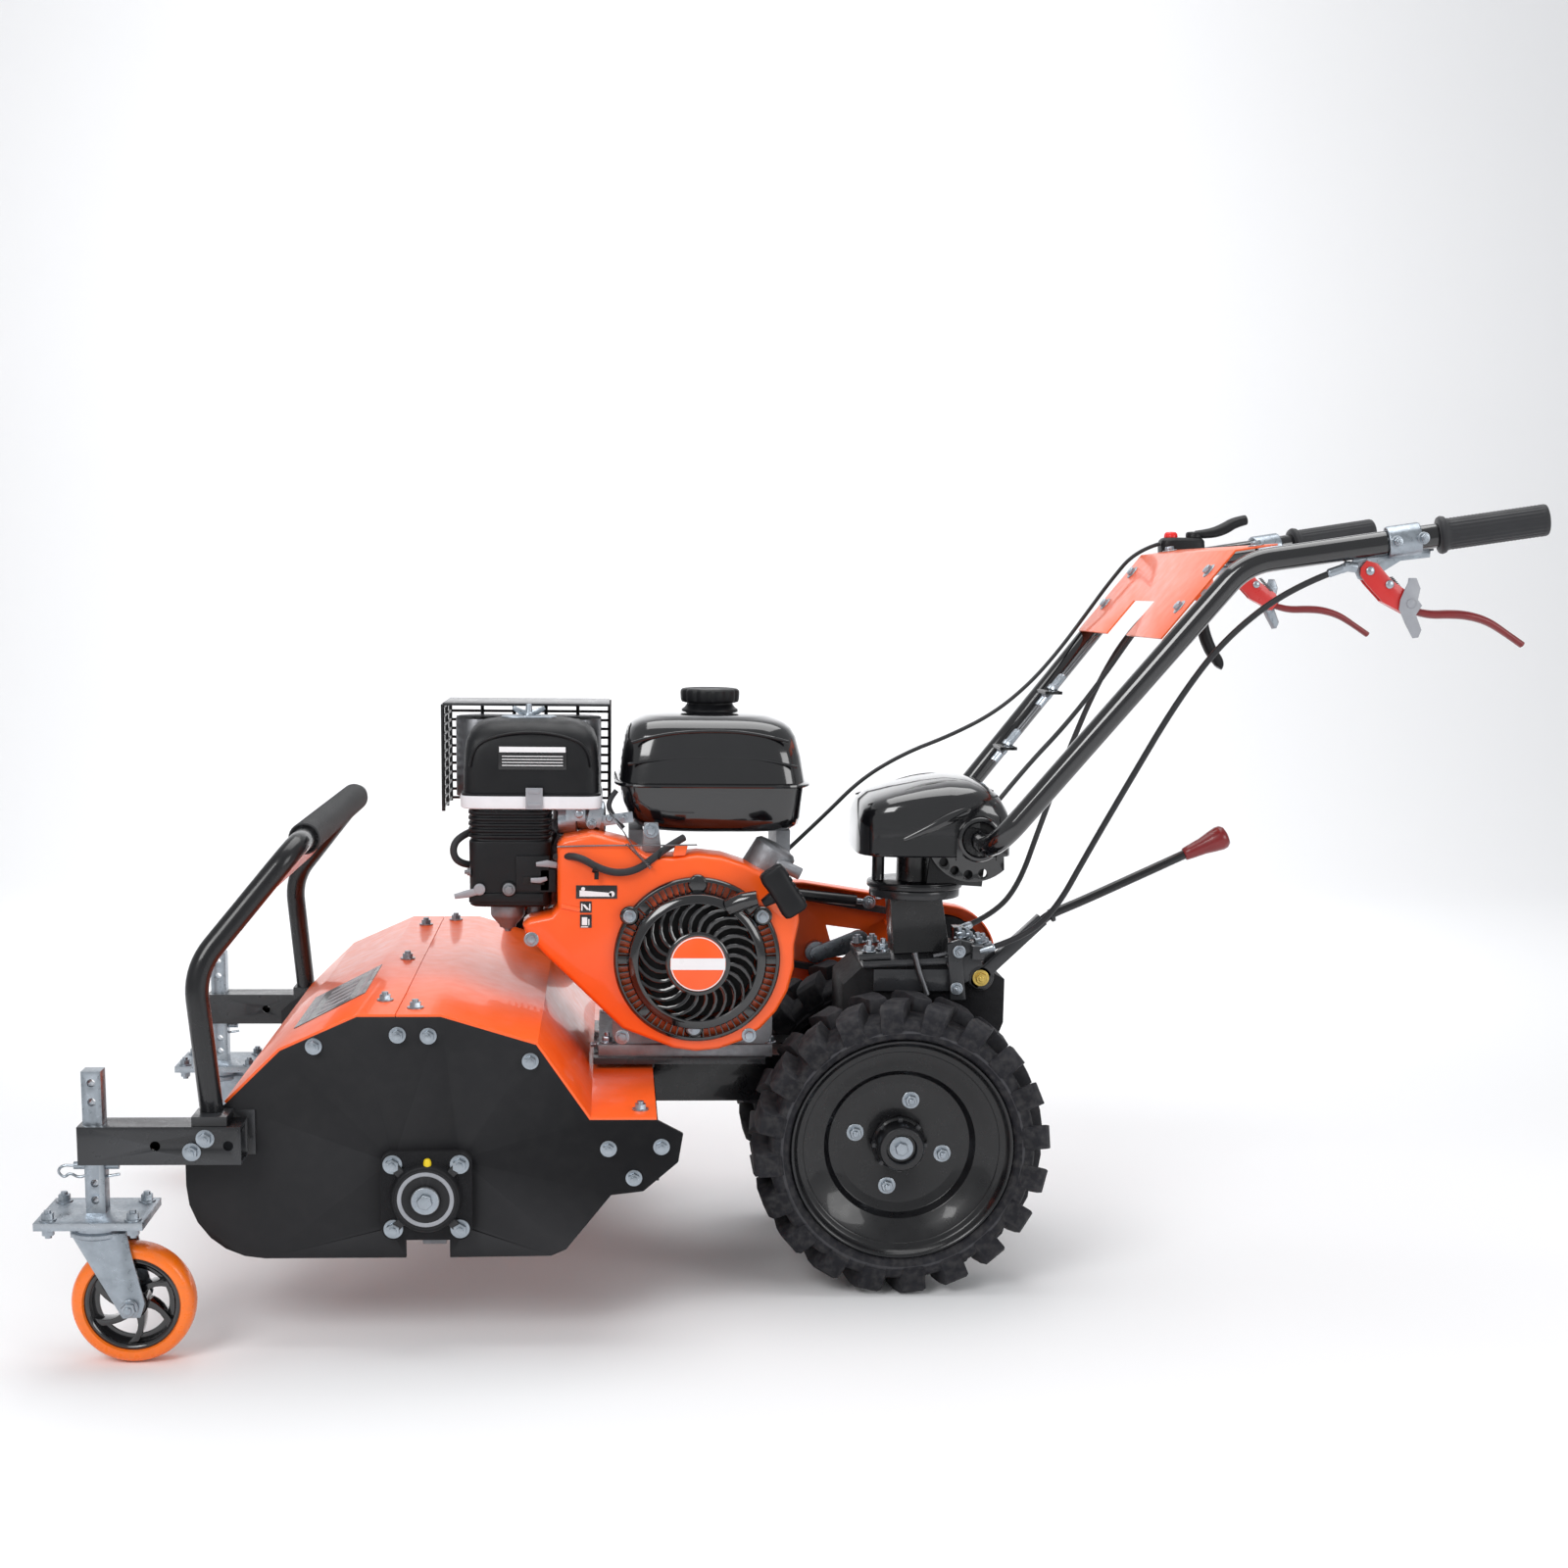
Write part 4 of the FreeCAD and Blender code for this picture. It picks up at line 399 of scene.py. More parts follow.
def rounding_group():
    """Smooth shading with sharp edges kept, as a modifier."""
    group = bpy.data.node_groups.new("smooth_by_angle", "GeometryNodeTree")
    group.interface.new_socket("Geometry", in_out="INPUT", socket_type="NodeSocketGeometry")
    group.interface.new_socket("Geometry", in_out="OUTPUT", socket_type="NodeSocketGeometry")
    start = group.nodes.new("NodeGroupInput")
    end = group.nodes.new("NodeGroupOutput")
    faces = group.nodes.new("GeometryNodeSetShadeSmooth")
    edges = group.nodes.new("GeometryNodeSetShadeSmooth")
    edges.domain = "EDGE"
    edges.inputs["Shade Smooth"].default_value = False
    angle = group.nodes.new("GeometryNodeInputMeshEdgeAngle")
    compare = group.nodes.new("FunctionNodeCompare")
    compare.inputs[1].default_value = math.radians(32)
    group.links.new(angle.outputs["Unsigned Angle"], compare.inputs[0])
    group.links.new(compare.outputs["Result"], edges.inputs["Selection"])
    group.links.new(start.outputs[0], faces.inputs["Geometry"])
    group.links.new(faces.outputs[0], edges.inputs["Geometry"])
    group.links.new(edges.outputs[0], end.inputs[0])
    return group


SMOOTHING = rounding_group()


def dress(node, finish, bevel=0.8):
    """Gives a CAD node its finish, small rounded edges and smooth curved faces."""
    piece = frame["nodes"][node]
    piece.data.materials.clear()
    piece.data.materials.append(PAINT[finish])
    if "custom_normal" in piece.data.attributes:
        piece.data.attributes.remove(piece.data.attributes["custom_normal"])
    piece.modifiers.new("weld", "WELD").merge_threshold = 1e-5
    if bevel:
        edge = piece.modifiers.new("edges", "BEVEL")
        edge.width = bevel * MM
        edge.segments = 2
        edge.limit_method = "ANGLE"
        edge.angle_limit = math.radians(32)
    piece.modifiers.new("smooth", "NODES").node_group = SMOOTHING


# ---------------------------------------------------------------- stage, light and camera
def stage():
    """A pale sweep that rises behind the machine, lit by large soft boxes."""
    low = CAD_BOUNDS[0][2] - 0.0005
    bend, back, reach = 1.6, 4.6, 7.0
    profile = [(-reach, low), (back - bend, low)]
    profile += [(back - bend + bend * math.sin(a), low + bend - bend * math.cos(a))
                for a in (math.pi / 24 * i for i in range(1, 13))]
    profile += [(back, low + 6)]
    mesh = bpy.data.meshes.new("sweep")
    verts = [(x, y, z) for x in (-reach, reach) for y, z in profile]
    n = len(profile)
    mesh.from_pydata(verts, [], [[i, n + i, n + i + 1, i + 1] for i in range(n - 1)])
    mesh.shade_smooth()
    sweep = bpy.data.objects.new("sweep", mesh)
    bpy.context.scene.collection.objects.link(sweep)
    pale = bpy.data.materials.new("pale_sweep")
    pale.use_nodes = True
    shader = pale.node_tree.nodes["Principled BSDF"]
    shader.inputs["Base Color"].default_value = (0.9, 0.9, 0.91, 1)
    shader.inputs["Roughness"].default_value = 0.8
    mesh.materials.append(pale)
    world = bpy.data.worlds.new("studio")
    bpy.context.scene.world = world
    world.use_nodes = True
    sky = world.node_tree.nodes["Background"]
    sky.inputs["Color"].default_value = (0.96, 0.98, 1.0, 1)
    sky.inputs["Strength"].default_value = 0.5
    lights = [("key", (-1.9, -2.9, 2.6), 1.6, 62), ("fill", (2.6, -2.4, 1.5), 1.4, 26),
              ("top", (0.1, 0.4, 3.1), 2.4, 52), ("wall", (0.0, 1.9, 2.6), 2.6, 60)]
    for name, place, size, power in lights:
        light = bpy.data.lights.new(name, "AREA")
        light.size = size
        light.energy = power
        lamp = bpy.data.objects.new(name, light)
        lamp.location = place
        aim = Vector((0, back, 1.2)) if name == "wall" else Vector((0, 0, 0.4))
        lamp.rotation_euler = (aim - Vector(place)).to_track_quat("-Z", "Y").to_euler()
        bpy.context.scene.collection.objects.link(lamp)
    bpy.context.scene.view_settings.view_transform = "Standard"


def camera():
    """A long lens at chest height, a little behind the middle of the machine's left side."""
    place = (-0.205, -2.43074, 0.80828)
    yaw, pitch, roll = (math.radians(a) for a in (2.82, 9.36, 0.58))
    forward = Vector((math.sin(yaw) * math.cos(pitch), math.cos(yaw) * math.cos(pitch), -math.sin(pitch)))
    right = Vector((math.cos(yaw), -math.sin(yaw), 0))
    up = right.cross(forward)
    right, up = right * math.cos(roll) + up * math.sin(roll), up * math.cos(roll) - right * math.sin(roll)
    lens = bpy.data.cameras.new("camera")
    lens.sensor_width = 36
    lens.lens = 47.2
    lens.shift_x = 0.0473
    lens.shift_y = 0.0897
    view = bpy.data.objects.new("camera", lens)
    turn = Matrix((right, up, -forward)).transposed()
    view.matrix_world = Matrix.Translation(place) @ turn.to_4x4()
    bpy.context.scene.collection.objects.link(view)
    bpy.context.scene.camera = view


# ---------------------------------------------------------------- wheels
def drive_wheel(name, side):
    """Tyre with two staggered rows of lugs, and its dished rim with the hub and bolts."""
    centre = JOINT[f"wheel_{name}_spin"]
    body = f"wheel_{name}"
    tyre = Shape()
    flank = [(129, 40), (132, 45), (136, 46.4), (138, 47.6), (140, 46.6), (146, 47.4), (150, 45), (153, 39)]
    tyre.lathe([(r, h) for r, h in flank] + [(154, 0)] + [(r, -h) for r, h in flank[::-1]], centre, "y", 120,
               ring=True)
    stations = [(1.5, 170.5, 150, 0, 3.3, 4.4), (22, 172.6, 150, 2.6, 4.0, 5.0),
                (39, 171.5, 150, 5.0, 4.6, 5.5), (45.5, 167, 146, 6.0, 4.7, 5.5),
                (48.6, 157, 142, 6.4, 4.4, 5.2), (47.8, 146, 138, 6.6, 3.9, 4.6)]
    lugs = 20
    for half in (-1, 1):
        for i in range(lugs):
            start = 360 / lugs * (i + (0 if half == side else 0.5))
            loops = []
            for y, top, base, lean, wide, foot in stations:
                corners = [(top, lean - wide), (top, lean + wide), (base, lean + foot), (base, lean - foot)]
                spots = [polar(radius, start + angle) for radius, angle in corners]
                loops.append([centre + Vector((x, half * y, z)) for x, z in spots])
            tyre.loft(loops)
    tyre.done(f"tyre_{name}_lugged", "tyre", body, replaces=[f"tyre_{name}"], bevel=1.6)
    out = Vector((0, side, 0))
    rim = Shape()
    face = [(20, 9), (80, 9.4), (84, 10.4), (88, 13), (91, 18), (93, 20), (98, 20.6), (100, 22), (102.5, 26),
            (104.5, 27), (109, 27.6), (111, 29), (113.5, 33), (115.5, 34), (119, 34.6), (121, 36),
            (123.5, 40.5), (125.5, 42.6), (127.4, 43.4), (128.8, 41.5)]
    back = [(128.8, -38), (125, -38), (124, 36), (118, 33.5), (108, 31), (100, 25), (88, 20), (82, 12),
            (58, 6), (20, 5)]
    rim.lathe(face + back, centre, out, 96, ring=True)
    rim.lathe([(31, 9), (31, 13), (28, 15), (26.5, 35), (24.5, 38.2), (18, 38.2), (16.5, 32), (2, 32),
               (2, -60), (24, -60)], centre, out, 40)
    for i in range(8):
        a, b = polar(29.5, 45 * i)
        rim.box(centre + Vector((a, side * 16, b)), (5, 9, 5), turned_about("Y", -45 * i))
    rim.done(f"rim_{name}_dished", "black", body, "rim_paint", [f"rim_{name}"], bevel=0.5)
    bolts = Shape()
    for i in range(4):
        a, b = polar(52.5, 76 + 90 * i)
        bolts.bolt(centre + Vector((a, side * 9, b)), out, 7.2, 6, 4)
    bolts.bolt(centre + Vector((0, side * 32, 0)), out, 8, 6, 0, washer=1.75)
    bolts.done(f"rim_{name}_bolts", "zinc", body, bevel=0.3)


def caster_wheel(name, side):
    """Orange tread on a black hub with six curved spokes."""
    centre = JOINT[f"caster_{name}_spin"]
    body = f"caster_{name}"
    tread = Shape()
    edge = [(49.5, 13), (51, 15.6), (57, 15.8), (61.5, 13), (63.5, 8), (64, 3)]
    tread.lathe(edge + [(r, -h) for r, h in edge[::-1]], centre, "y", 72, ring=True)
    tread.done(f"caster_{name}_tread", "tread", body, replaces=[f"caster_wheel_{name}"], sharp=50)
    hub = Shape().lathe([(50, 12.5), (46, 13.5), (43.5, 11), (43.5, -11), (46, -13.5), (50, -12.5)], centre,
                        "y", 72, ring=True)
    hub.lathe([(5.4, 13), (14, 13), (16, 10), (16, -10), (14, -13), (5.4, -13)], centre, "y", 32, ring=True)
    hub.lathe([(44, 1.5), (36, 1.5), (36, -1.5), (44, -1.5)], centre, "y", 72, ring=True)
    for spoke in range(6):
        left, right = [], []
        for step in range(7):
            t = step / 6
            radius = 14 + 31 * t
            angle = 60 * spoke + 34 * t * side
            half = math.degrees((5.2 - 1.8 * math.sin(math.pi * t)) / radius)
            left.append(polar(radius, angle + half))
            right.append(polar(radius, angle - half))
        hub.prism(left + right[::-1], -8.5, 8.5, "y", centre)
    hub.done(f"caster_{name}_hub", "gloss", body, "black_plastic", bevel=0.8)


def caster_mount(name, side):
    """Finish for the fork and stem, the swivel's race, the axle's nuts and the stem's spring clip."""
    dress(f"caster_fork_{name}", "zinc", 1.0)
    dress(f"caster_stem_{name}", "zinc", 0.8)
    pivot = JOINT[f"fork_{name}_swivel"]
    race = Shape().lathe([(27.2, -5), (29, -7), (29, -11), (26, -13), (20, -13), (20, -5)], pivot, "z", 48,
                         ring=True)
    race.done(f"caster_{name}_race", "zinc", f"stem_{name}", bevel=0.3)
    nuts = Shape()
    hub = JOINT[f"caster_{name}_spin"]
    for way in (-1, 1):
        nuts.bolt(hub + Vector((0, way * 25, 0)), (0, way, 0), 8, 6, 3, washer=1.2)
    nuts.done(f"caster_{name}_axle_nuts", "zinc", f"fork_{name}", bevel=0.3)
    clip_z, y = 210.5, pivot.y + side * 2
    hook = [(-8, 0), (-22, 0), (-34, 1), (-40, -6), (-33, -13), (-27, -7), (-18, -13), (-8, -9), (2, -13),
            (24, -9)]
    route = [(pivot.x + along, y, clip_z + lift) for along, lift in hook]
    wire = Shape().tube(smooth_line(route, 6), 1.5, 8)
    wire.done(f"stem_{name}_clip", "zinc", f"stem_{name}")


# ---------------------------------------------------------------- deck and guard
def bearing(name, side):
    """Square cast flange with ribs, a turned boss, a grey insert and a grease cap."""
    rotor = JOINT["rotor_spin"]
    face = side * abs(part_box("bearing_housings")[0].y / MM)
    centre = Vector((rotor.x, face, rotor.z))
    out = (0, side, 0)
    boss = Shape().lathe([(39, -14), (37.5, -6), (35.5, -1), (34.5, 0.3), (31, 0.8), (30.5, -2), (18, -2),
                          (18, -14)], centre, out, 56, ring=True)
    for i in range(4):
        a, b = polar(40, 45 + 90 * i)
        turn = turned_about("Y", -(45 + 90 * i))
        boss.box(centre + Vector((a, -side * 8.5, b)), (22, 8, 9), turn)
    boss.done(f"bearing_boss_{name}", "cast", bevel=1.2)
    insert = Shape().lathe([(30, -1.8), (29.6, 0.2), (26, 0.6), (24.5, -0.6), (20, -0.6), (17.5, -1.8)],
                           centre, out, 56, ring=True)
    insert.done(f"bearing_insert_{name}", "grey", "root", "zinc", bevel=0.2)
    cap = Shape().lathe([(4.2, 0), (4.2, 5), (3.2, 8), (2, 9)], centre + Vector((2, -side * 5, 34)), "z", 20)
    cap.done(f"grease_cap_{name}", "yellow", bevel=0.4)
    if side < 0:
        end = Shape().bolt(Vector((rotor.x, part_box("rotor_shaft")[0].y / MM + 1.4, rotor.z)), out, 8.5, 6, 0,
                           washer=1.7)
        end.done("rotor_end_bolt", "zinc", "rotor", bevel=0.3)


def deck():
    """Finishes of the deck, frame, belts and shafts, and the ribbed sleeve on the guard bar."""
    for node in ("side_plates", "chassis_beam", "caster_arms", "guard_bar"):
        dress(node, "plate" if node == "side_plates" else "black", 0.8)
    for node in ("deck_cover_front", "deck_cover_rear", "side_belt_guard", "guard_plate", "belt_cover"):
        dress(node, "orange", 0.7)
    dress("bearing_housings", "cast", 1.0)
    dress("fasteners", "zinc", 0.4)
    for node in ("rotor_shaft", "flail_blades", "counter_shaft", "crankshaft", "muffler"):
        dress(node, "steel", 0.6)
    dress("input_pulley", "cast", 0.6)
    dress("drive_belts", "rubber", 0.0)
    top = Vector((-533, 0, 536))
    half, rib = 220, 5
    profile = []
    for y in range(-half, half, rib):
        profile += [(15.6, y), (17.2, y + 1.2), (17.2, y + 3), (15.6, y + 4.2)]
    sleeve = Shape().lathe([(12.5, -half)] + profile + [(12.5, half)], top, "y", 28, ring=True)
    sleeve.done("guard_sleeve", "rubber")


def deck_decal():
    """A dark slanted badge on the front slope of the cover, with plain pale stripes."""
    foot, bend, top = Vector((-605, 0, 270)), Vector((-548, 0, 326)), Vector((-468, 0, 362))
    outward = Vector((-0.3, 0, 0.5))

    def on_slope(t, y):
        """A point just clear of the cover, from 0 at its foot past 1 at its bend to 2 at its top."""
        start, end = (foot, bend) if t < 1 else (bend, top)
        slope = end - start
        normal = Vector((-slope.z, 0, slope.x)).normalized()
        return start.lerp(end, t if t < 1 else t - 1) + normal * 3.45 + Vector((0, y, 0))

    def patch(t0, t1, y0, y1, slant, lift, thick=0.8):
        rows = []
        for t in (t0, (t0 + t1) / 2, t1):
            share = (t - t0) / (t1 - t0)
            rows.append([on_slope(t, y + slant * share) + outward * lift for y in (y0, y1)])
        verts = [p for row in rows for p in row]
        verts += [p - outward * thick for p in verts]
        faces = [[0, 1, 3, 2], [2, 3, 5, 4], [6, 8, 9, 7], [8, 10, 11, 9], [0, 2, 8, 6], [2, 4, 10, 8],
                 [1, 7, 9, 3], [3, 9, 11, 5], [0, 6, 7, 1], [4, 5, 11, 10]]
        return verts, faces

    Shape().add(*patch(1.03, 1.95, -232, -62, 34, 0.4)).done("deck_badge", "decal_black")
    lines = Shape()
    lines.add(*patch(1.12, 1.18, -222, -62, 4, 0.8))
    lines.add(*patch(1.82, 1.88, -198, -38, 4, 0.8))
    for i in range(5):
        lines.add(*patch(1.3, 1.7, -204 + 28 * i, -189 + 28 * i, 15, 0.8))
    lines.done("deck_badge_stripes", "grey", "root", "black_paint")


# ---------------------------------------------------------------- engine
CRANK = JOINT["crank_spin"]
CRANK_LINE = (CRANK.x, 0, CRANK.z)
STARTER_FACE = -152


def from_crank(x, y, z):
    """A point given across the engine's starter face from the crank's axis."""
    return Vector((CRANK.x + x, y, CRANK.z + z))


def inset_loop(outline, amount, y):
    """The outline moved inwards by an amount and stood at one depth."""
    loop = []
    n = len(outline)
    for i in range(n):
        before, here, after = (Vector(outline[(i + k) % n]) for k in (-1, 0, 1))
        way = (after - before).normalized()
        inward = Vector((way.y, -way.x))
        spot = here + inward * amount
        loop.append(from_crank(spot.x, y, spot.y))
    return loop


def shroud():
    """The painted blower housing, with a rolled front edge, and the bolts round it."""
    outline = [(-157, 128), (-150, 136), (-118, 142), (-81, 133), (-58, 118), (-30, 115), (0, 119), (28, 116),
               (55, 107)]
    outline += [(82, 94), (104, 76), (114, 60), (116, 42)]
    outline += [polar(112 - i * 0.5, 8 - 14 * i) for i in range(10)]
    outline += [(-84, -82), (-119, -48), (-174, 6), (-193, 28), (-196, 38), (-188, 45), (-164, 50),
                (-157, 58)]
    skin = Shape().loft([inset_loop(outline, inset, y) for inset,
                         y in ((2, -96), (0, -98), (0, -141), (0.8, -146), (2.4, -149.6), (4.4, -151.4),
                               (6, STARTER_FACE))])
    skin.done("blower_shroud", "orange", replaces=["fan_shroud"], sharp=42)
    rib = Shape().prism([(-28, 116), (-14, 117), (-11, 128), (-25, 128)], -150, -138, "y", CRANK_LINE)
    rib.box(from_crank(-142, -146, 58), (22, 16, 5), turned_about("Y", 12))
    rib.box(from_crank(92, -140, 66), (30, 26, 26), turned_about("Y", 38))
    rib.done("shroud_tabs", "orange", bevel=1.5)
    bolts = Shape()
    for x, z in ((-186, 22), (-84, -90), (60, -88), (108, 58)):
        bolts.bolt(from_crank(x, -151, z), LEFT, 5.6, 4, 0, washer=1.5)
    bolts.done("shroud_bolts", "zinc", bevel=0.3)
    decals()


def decals():
    """Small control symbols without lettering: a lever's swing, a choke flap and a fuel tap."""
    backs = Shape().box(from_crank(-113, -152.5, 76), (46, 1, 15))
    backs.box(from_crank(-125, -152.5, 59), (13, 1, 13))
    backs.box(from_crank(-125, -152.5, 43), (13, 1, 15))
    backs.done("symbol_plates", "decal_black", bevel=0.4)
    marks = Shape().prism([(-132, 78), (-96, 75), (-96, 71), (-132, 71)], -153.4, -152.8, "y", CRANK_LINE)
    marks.lathe([(3.2, 0), (3.2, 0.6)], from_crank(-96, -153.4, 74), "y", 20)
    marks.lathe([(2.2, 0), (2.2, 0.6)], from_crank(-128, -153.4, 79.5), "y", 20)
    marks.prism([(-129, 62), (-126, 62), (-121, 56), (-124, 56)], -153.4, -152.8, "y", CRANK_LINE)
    marks.box(from_crank(-129.4, -153.1, 59), (1.4, 0.6, 8))
    marks.box(from_crank(-120.6, -153.1, 59), (1.4, 0.6, 8))
    marks.box(from_crank(-126.4, -153.1, 43), (6, 0.6, 9))
    marks.box(from_crank(-121.6, -153.1, 42), (1.2, 0.6, 7))
    marks.box(from_crank(-126.4, -153.1, 36.6), (8, 0.6, 1.2))
    marks.done("symbol_marks", "decal_white")


def recoil():
    """Black starter cover: slotted rim ring, vaned dish and a plain orange centre disc."""
    out = LEFT
    centre = from_crank(0, STARTER_FACE, 0)
    cover = Shape().lathe([(94, -1), (94, 5), (92, 8), (89, 8.6), (88.5, -1)], centre, out, 96, ring=True)
    cover.lathe([(78, 2), (78, 16), (76, 21), (71, 24), (67, 24.6), (65.5, 23), (65.5, 2)], centre, out, 96,
                ring=True)
    cover.lathe([(36, 23), (36, 30.5), (34, 31.6), (31, 31.6), (31, 23)], centre, out, 72, ring=True)
    bars_round, vanes, steps = 72, 24, 5
    for i in range(bars_round):
        angle = 360 / bars_round * i
        a, b = polar(83.5, angle)
        wide = 1.7 if i % 9 else 9
        cover.box(centre + Vector((a, -4.5, b)), (12, 6, wide), turned_about("Y", -angle))
    for i in range(vanes):
        loops = []
        for step in range(steps + 1):
            t = step / steps
            radius = 34 + 33 * t
            lift = 29.5 - 6.5 * t * t
            half = 2.2 + 1.5 * t
            turn = math.radians(360 / vanes * i - 26 * t * t)
            along = Vector((-math.sin(turn), 0, math.cos(turn)))
            spot = centre + Vector((radius * math.cos(turn), -lift, radius * math.sin(turn)))
            loops.append([spot - along * half, spot + along * (half * 0.4) + Vector((0, -1.6, 0)),
                          spot + along * half, spot + along * half + Vector((0, 5, 0)),
                          spot - along * half + Vector((0, 5, 0))])
        cover.loft(loops)
    for x, z in ((-76, 50), (73, 50), (-3, -78), (0, 86)):
        cover.lathe([(11, -1), (11, 7), (9, 9)], centre + Vector((x, 0, z)), out, 28)
    cover.tube([from_crank(34, -172, 62), from_crank(50, -177, 70), from_crank(66, -180, 74)], [11, 10, 8.5],
               20)
    cover.done("recoil_housing", "gloss", replaces=["recoil_cover"], bevel=0.5)
    # A dark disc behind the vanes stands in for the shade inside the cover: painted shade.
    back = Shape().lathe([(64, 6), (64, 8), (1, 8)], centre, out, 72)
    back.done("recoil_painted_shade", "dark")
    badge = Shape().lathe([(31, 28), (31, 31.2), (30, 31.8), (1, 32)], centre, out, 72)
    badge.done("recoil_disc", "orange")
    band = Shape().box(centre + Vector((0, -32.2, 0)), (61, 0.8, 13))
    band.lathe([(30.4, 31.6), (30.4, 32.5), (29.4, 32.5), (29.4, 31.6)], centre, out, 72, ring=True)
    band.done("recoil_disc_band", "decal_white", "root", "orange_paint")
    screws = Shape()
    for x, z in ((-76, 50), (73, 50), (-3, -78)):
        screws.bolt(centre + Vector((x, -9, z)), out, 4.6, 3, 0, washer=1.6)
    screws.done("recoil_screws", "zinc", bevel=0.3)


def pull_handle():
    """The starter's grip, leaning along the shroud, with its ribs and the cord's boot."""
    grip = Shape()
    tilt = turned_about("Y", -33)
    middle = Vector((-13, -182, 475))
    loops = []
    for z, wide, deep in ((-29, 11, 9), (-27, 14, 12), (-20, 15.4, 13), (-8, 14.4, 12), (8, 14.4, 12),
                          (20, 15.4, 13), (27, 14, 12), (29, 11, 9)):
        loops.append([middle + tilt @ p for p in rounded((0, 0), (wide, deep), 4, z, 28)])
    grip.loft(loops)
    for z in (-14, -7, 0, 7, 14):
        grip.box(middle + tilt @ Vector((14.6, 0, z)), (1.8, 18, 2.4), tilt)
    boot = [middle + tilt @ Vector(p) for p in ((-26, 3, 0), (-18, 2, 0), (-8, 0, 0))]
    grip.tube(boot, [5, 6.5, 8], 18)
    grip.done("starter_grip", "moulded", "pull", replaces=["pull_handle"], bevel=0.4)


def tank():
    """Two pressed halves with a rolled seam, soft creases, a neck, the front stay and the lobed cap."""
    x, y = middle_of("fuel_tank")
    seam = 587
    body = Shape()
    upper = [(0, 107, 107, 6.5, 0), (4, 106.4, 106.4, 6.5, 0), (30, 103, 103, 6.2, -1), (52, 98, 98, 6, -2),
             (61, 94, 94, 5.6, -3), (67, 88, 88, 5.2, -4), (71, 80, 80, 4.8, -5), (73.6, 72, 72, 4.6, -6),
             (74.6, 69, 69, 4.4, -6), (76.4, 44, 44, 4, -7), (77, 12, 12, 2, -7)]
    lower = [(0, 107, 107, 6.5, 0), (-4, 106, 106, 6.5, 0), (-22, 104, 104, 6.2, 0), (-40, 100, 100, 5.8, 3),
             (-49, 95, 95, 5.2, 6), (-54.6, 87, 87, 4.6, 8), (-57.5, 72, 74, 4, 9)]
    for half in (upper, lower):
        body.loft([rounded((x + shift, y), (hx, hy), n, seam + z, 88) for z, hx, hy, n, shift in half])
    rim = [(-3.2, 109), (-3.6, 111.5), (-2.4, 112.6), (-0.4, 112.2), (0.6, 110), (1.6, 104)]
    body.loft(stacked(x, y, [(seam + z, half, half, 6.5) for z, half in rim]))
    body.done("tank_shell", "gloss", "root", "tank_paint", ["fuel_tank"], sharp=46)
    crease = Shape()
    for way in (-1, 1):
        top = [(x - 93, y + way * 99, seam + 46), (x - 62, y + way * 96.4, seam + 56),
               (x, y + way * 95, seam + 60), (x + 50, y + way * 96, seam + 57),
               (x + 84, y + way * 98.6, seam + 48)]
        crease.tube(smooth_line(top), 1.8, 10)
        swell = [(x - 97, y + way * 102.4, seam + 22), (x - 50, y + way * 101.6, seam + 30),
                 (x + 10, y + way * 101.4, seam + 31), (x + 60, y + way * 101.8, seam + 28),
                 (x + 94, y + way * 102.6, seam + 20)]
        crease.tube(smooth_line(swell), 1.6, 10)
    crease.done("tank_crease", "gloss", "root", "tank_paint")
    neck = Shape().lathe([(33, 74), (33, 78), (30, 80), (27, 84), (27, 88)], (x, 0, seam), "z", 48)
    neck.done("tank_neck", "moulded", "root", "tank_paint")
    stay = Shape().prism([(-62, 118), (-40, 118), (-44, 152), (-60, 152)], -131, -126, "y", CRANK_LINE)
    stay.prism([(-60, 118), (-42, 118), (-40, 112), (-62, 112)], -131, -110, "y", CRANK_LINE)
    stay.done("tank_stay", "aluminium", bevel=1.2)
    bolt = Shape().bolt(from_crank(-52, -131, 143), LEFT, 5.6, 4, 0, washer=1.6)
    bolt.done("tank_stay_bolt", "zinc", bevel=0.3)
    cap = Shape()
    cap_z = JOINT["cap_turn"].z
    profile = [(30, -5), (33.5, -4), (34.6, -1), (35, 6), (34.6, 9), (32.5, 11), (29, 11.6), (27, 10.8),
               (2, 10.8)]
    cap.lathe(profile, (x, 0, cap_z), "z", 96, wave=lambda a: 1 - 0.05 * (0.5 + 0.5 * math.cos(12 * a)) ** 4)
    cap.done("tank_cap", "moulded", "cap", "gloss_black_plastic", ["fuel_cap"], bevel=0.4)


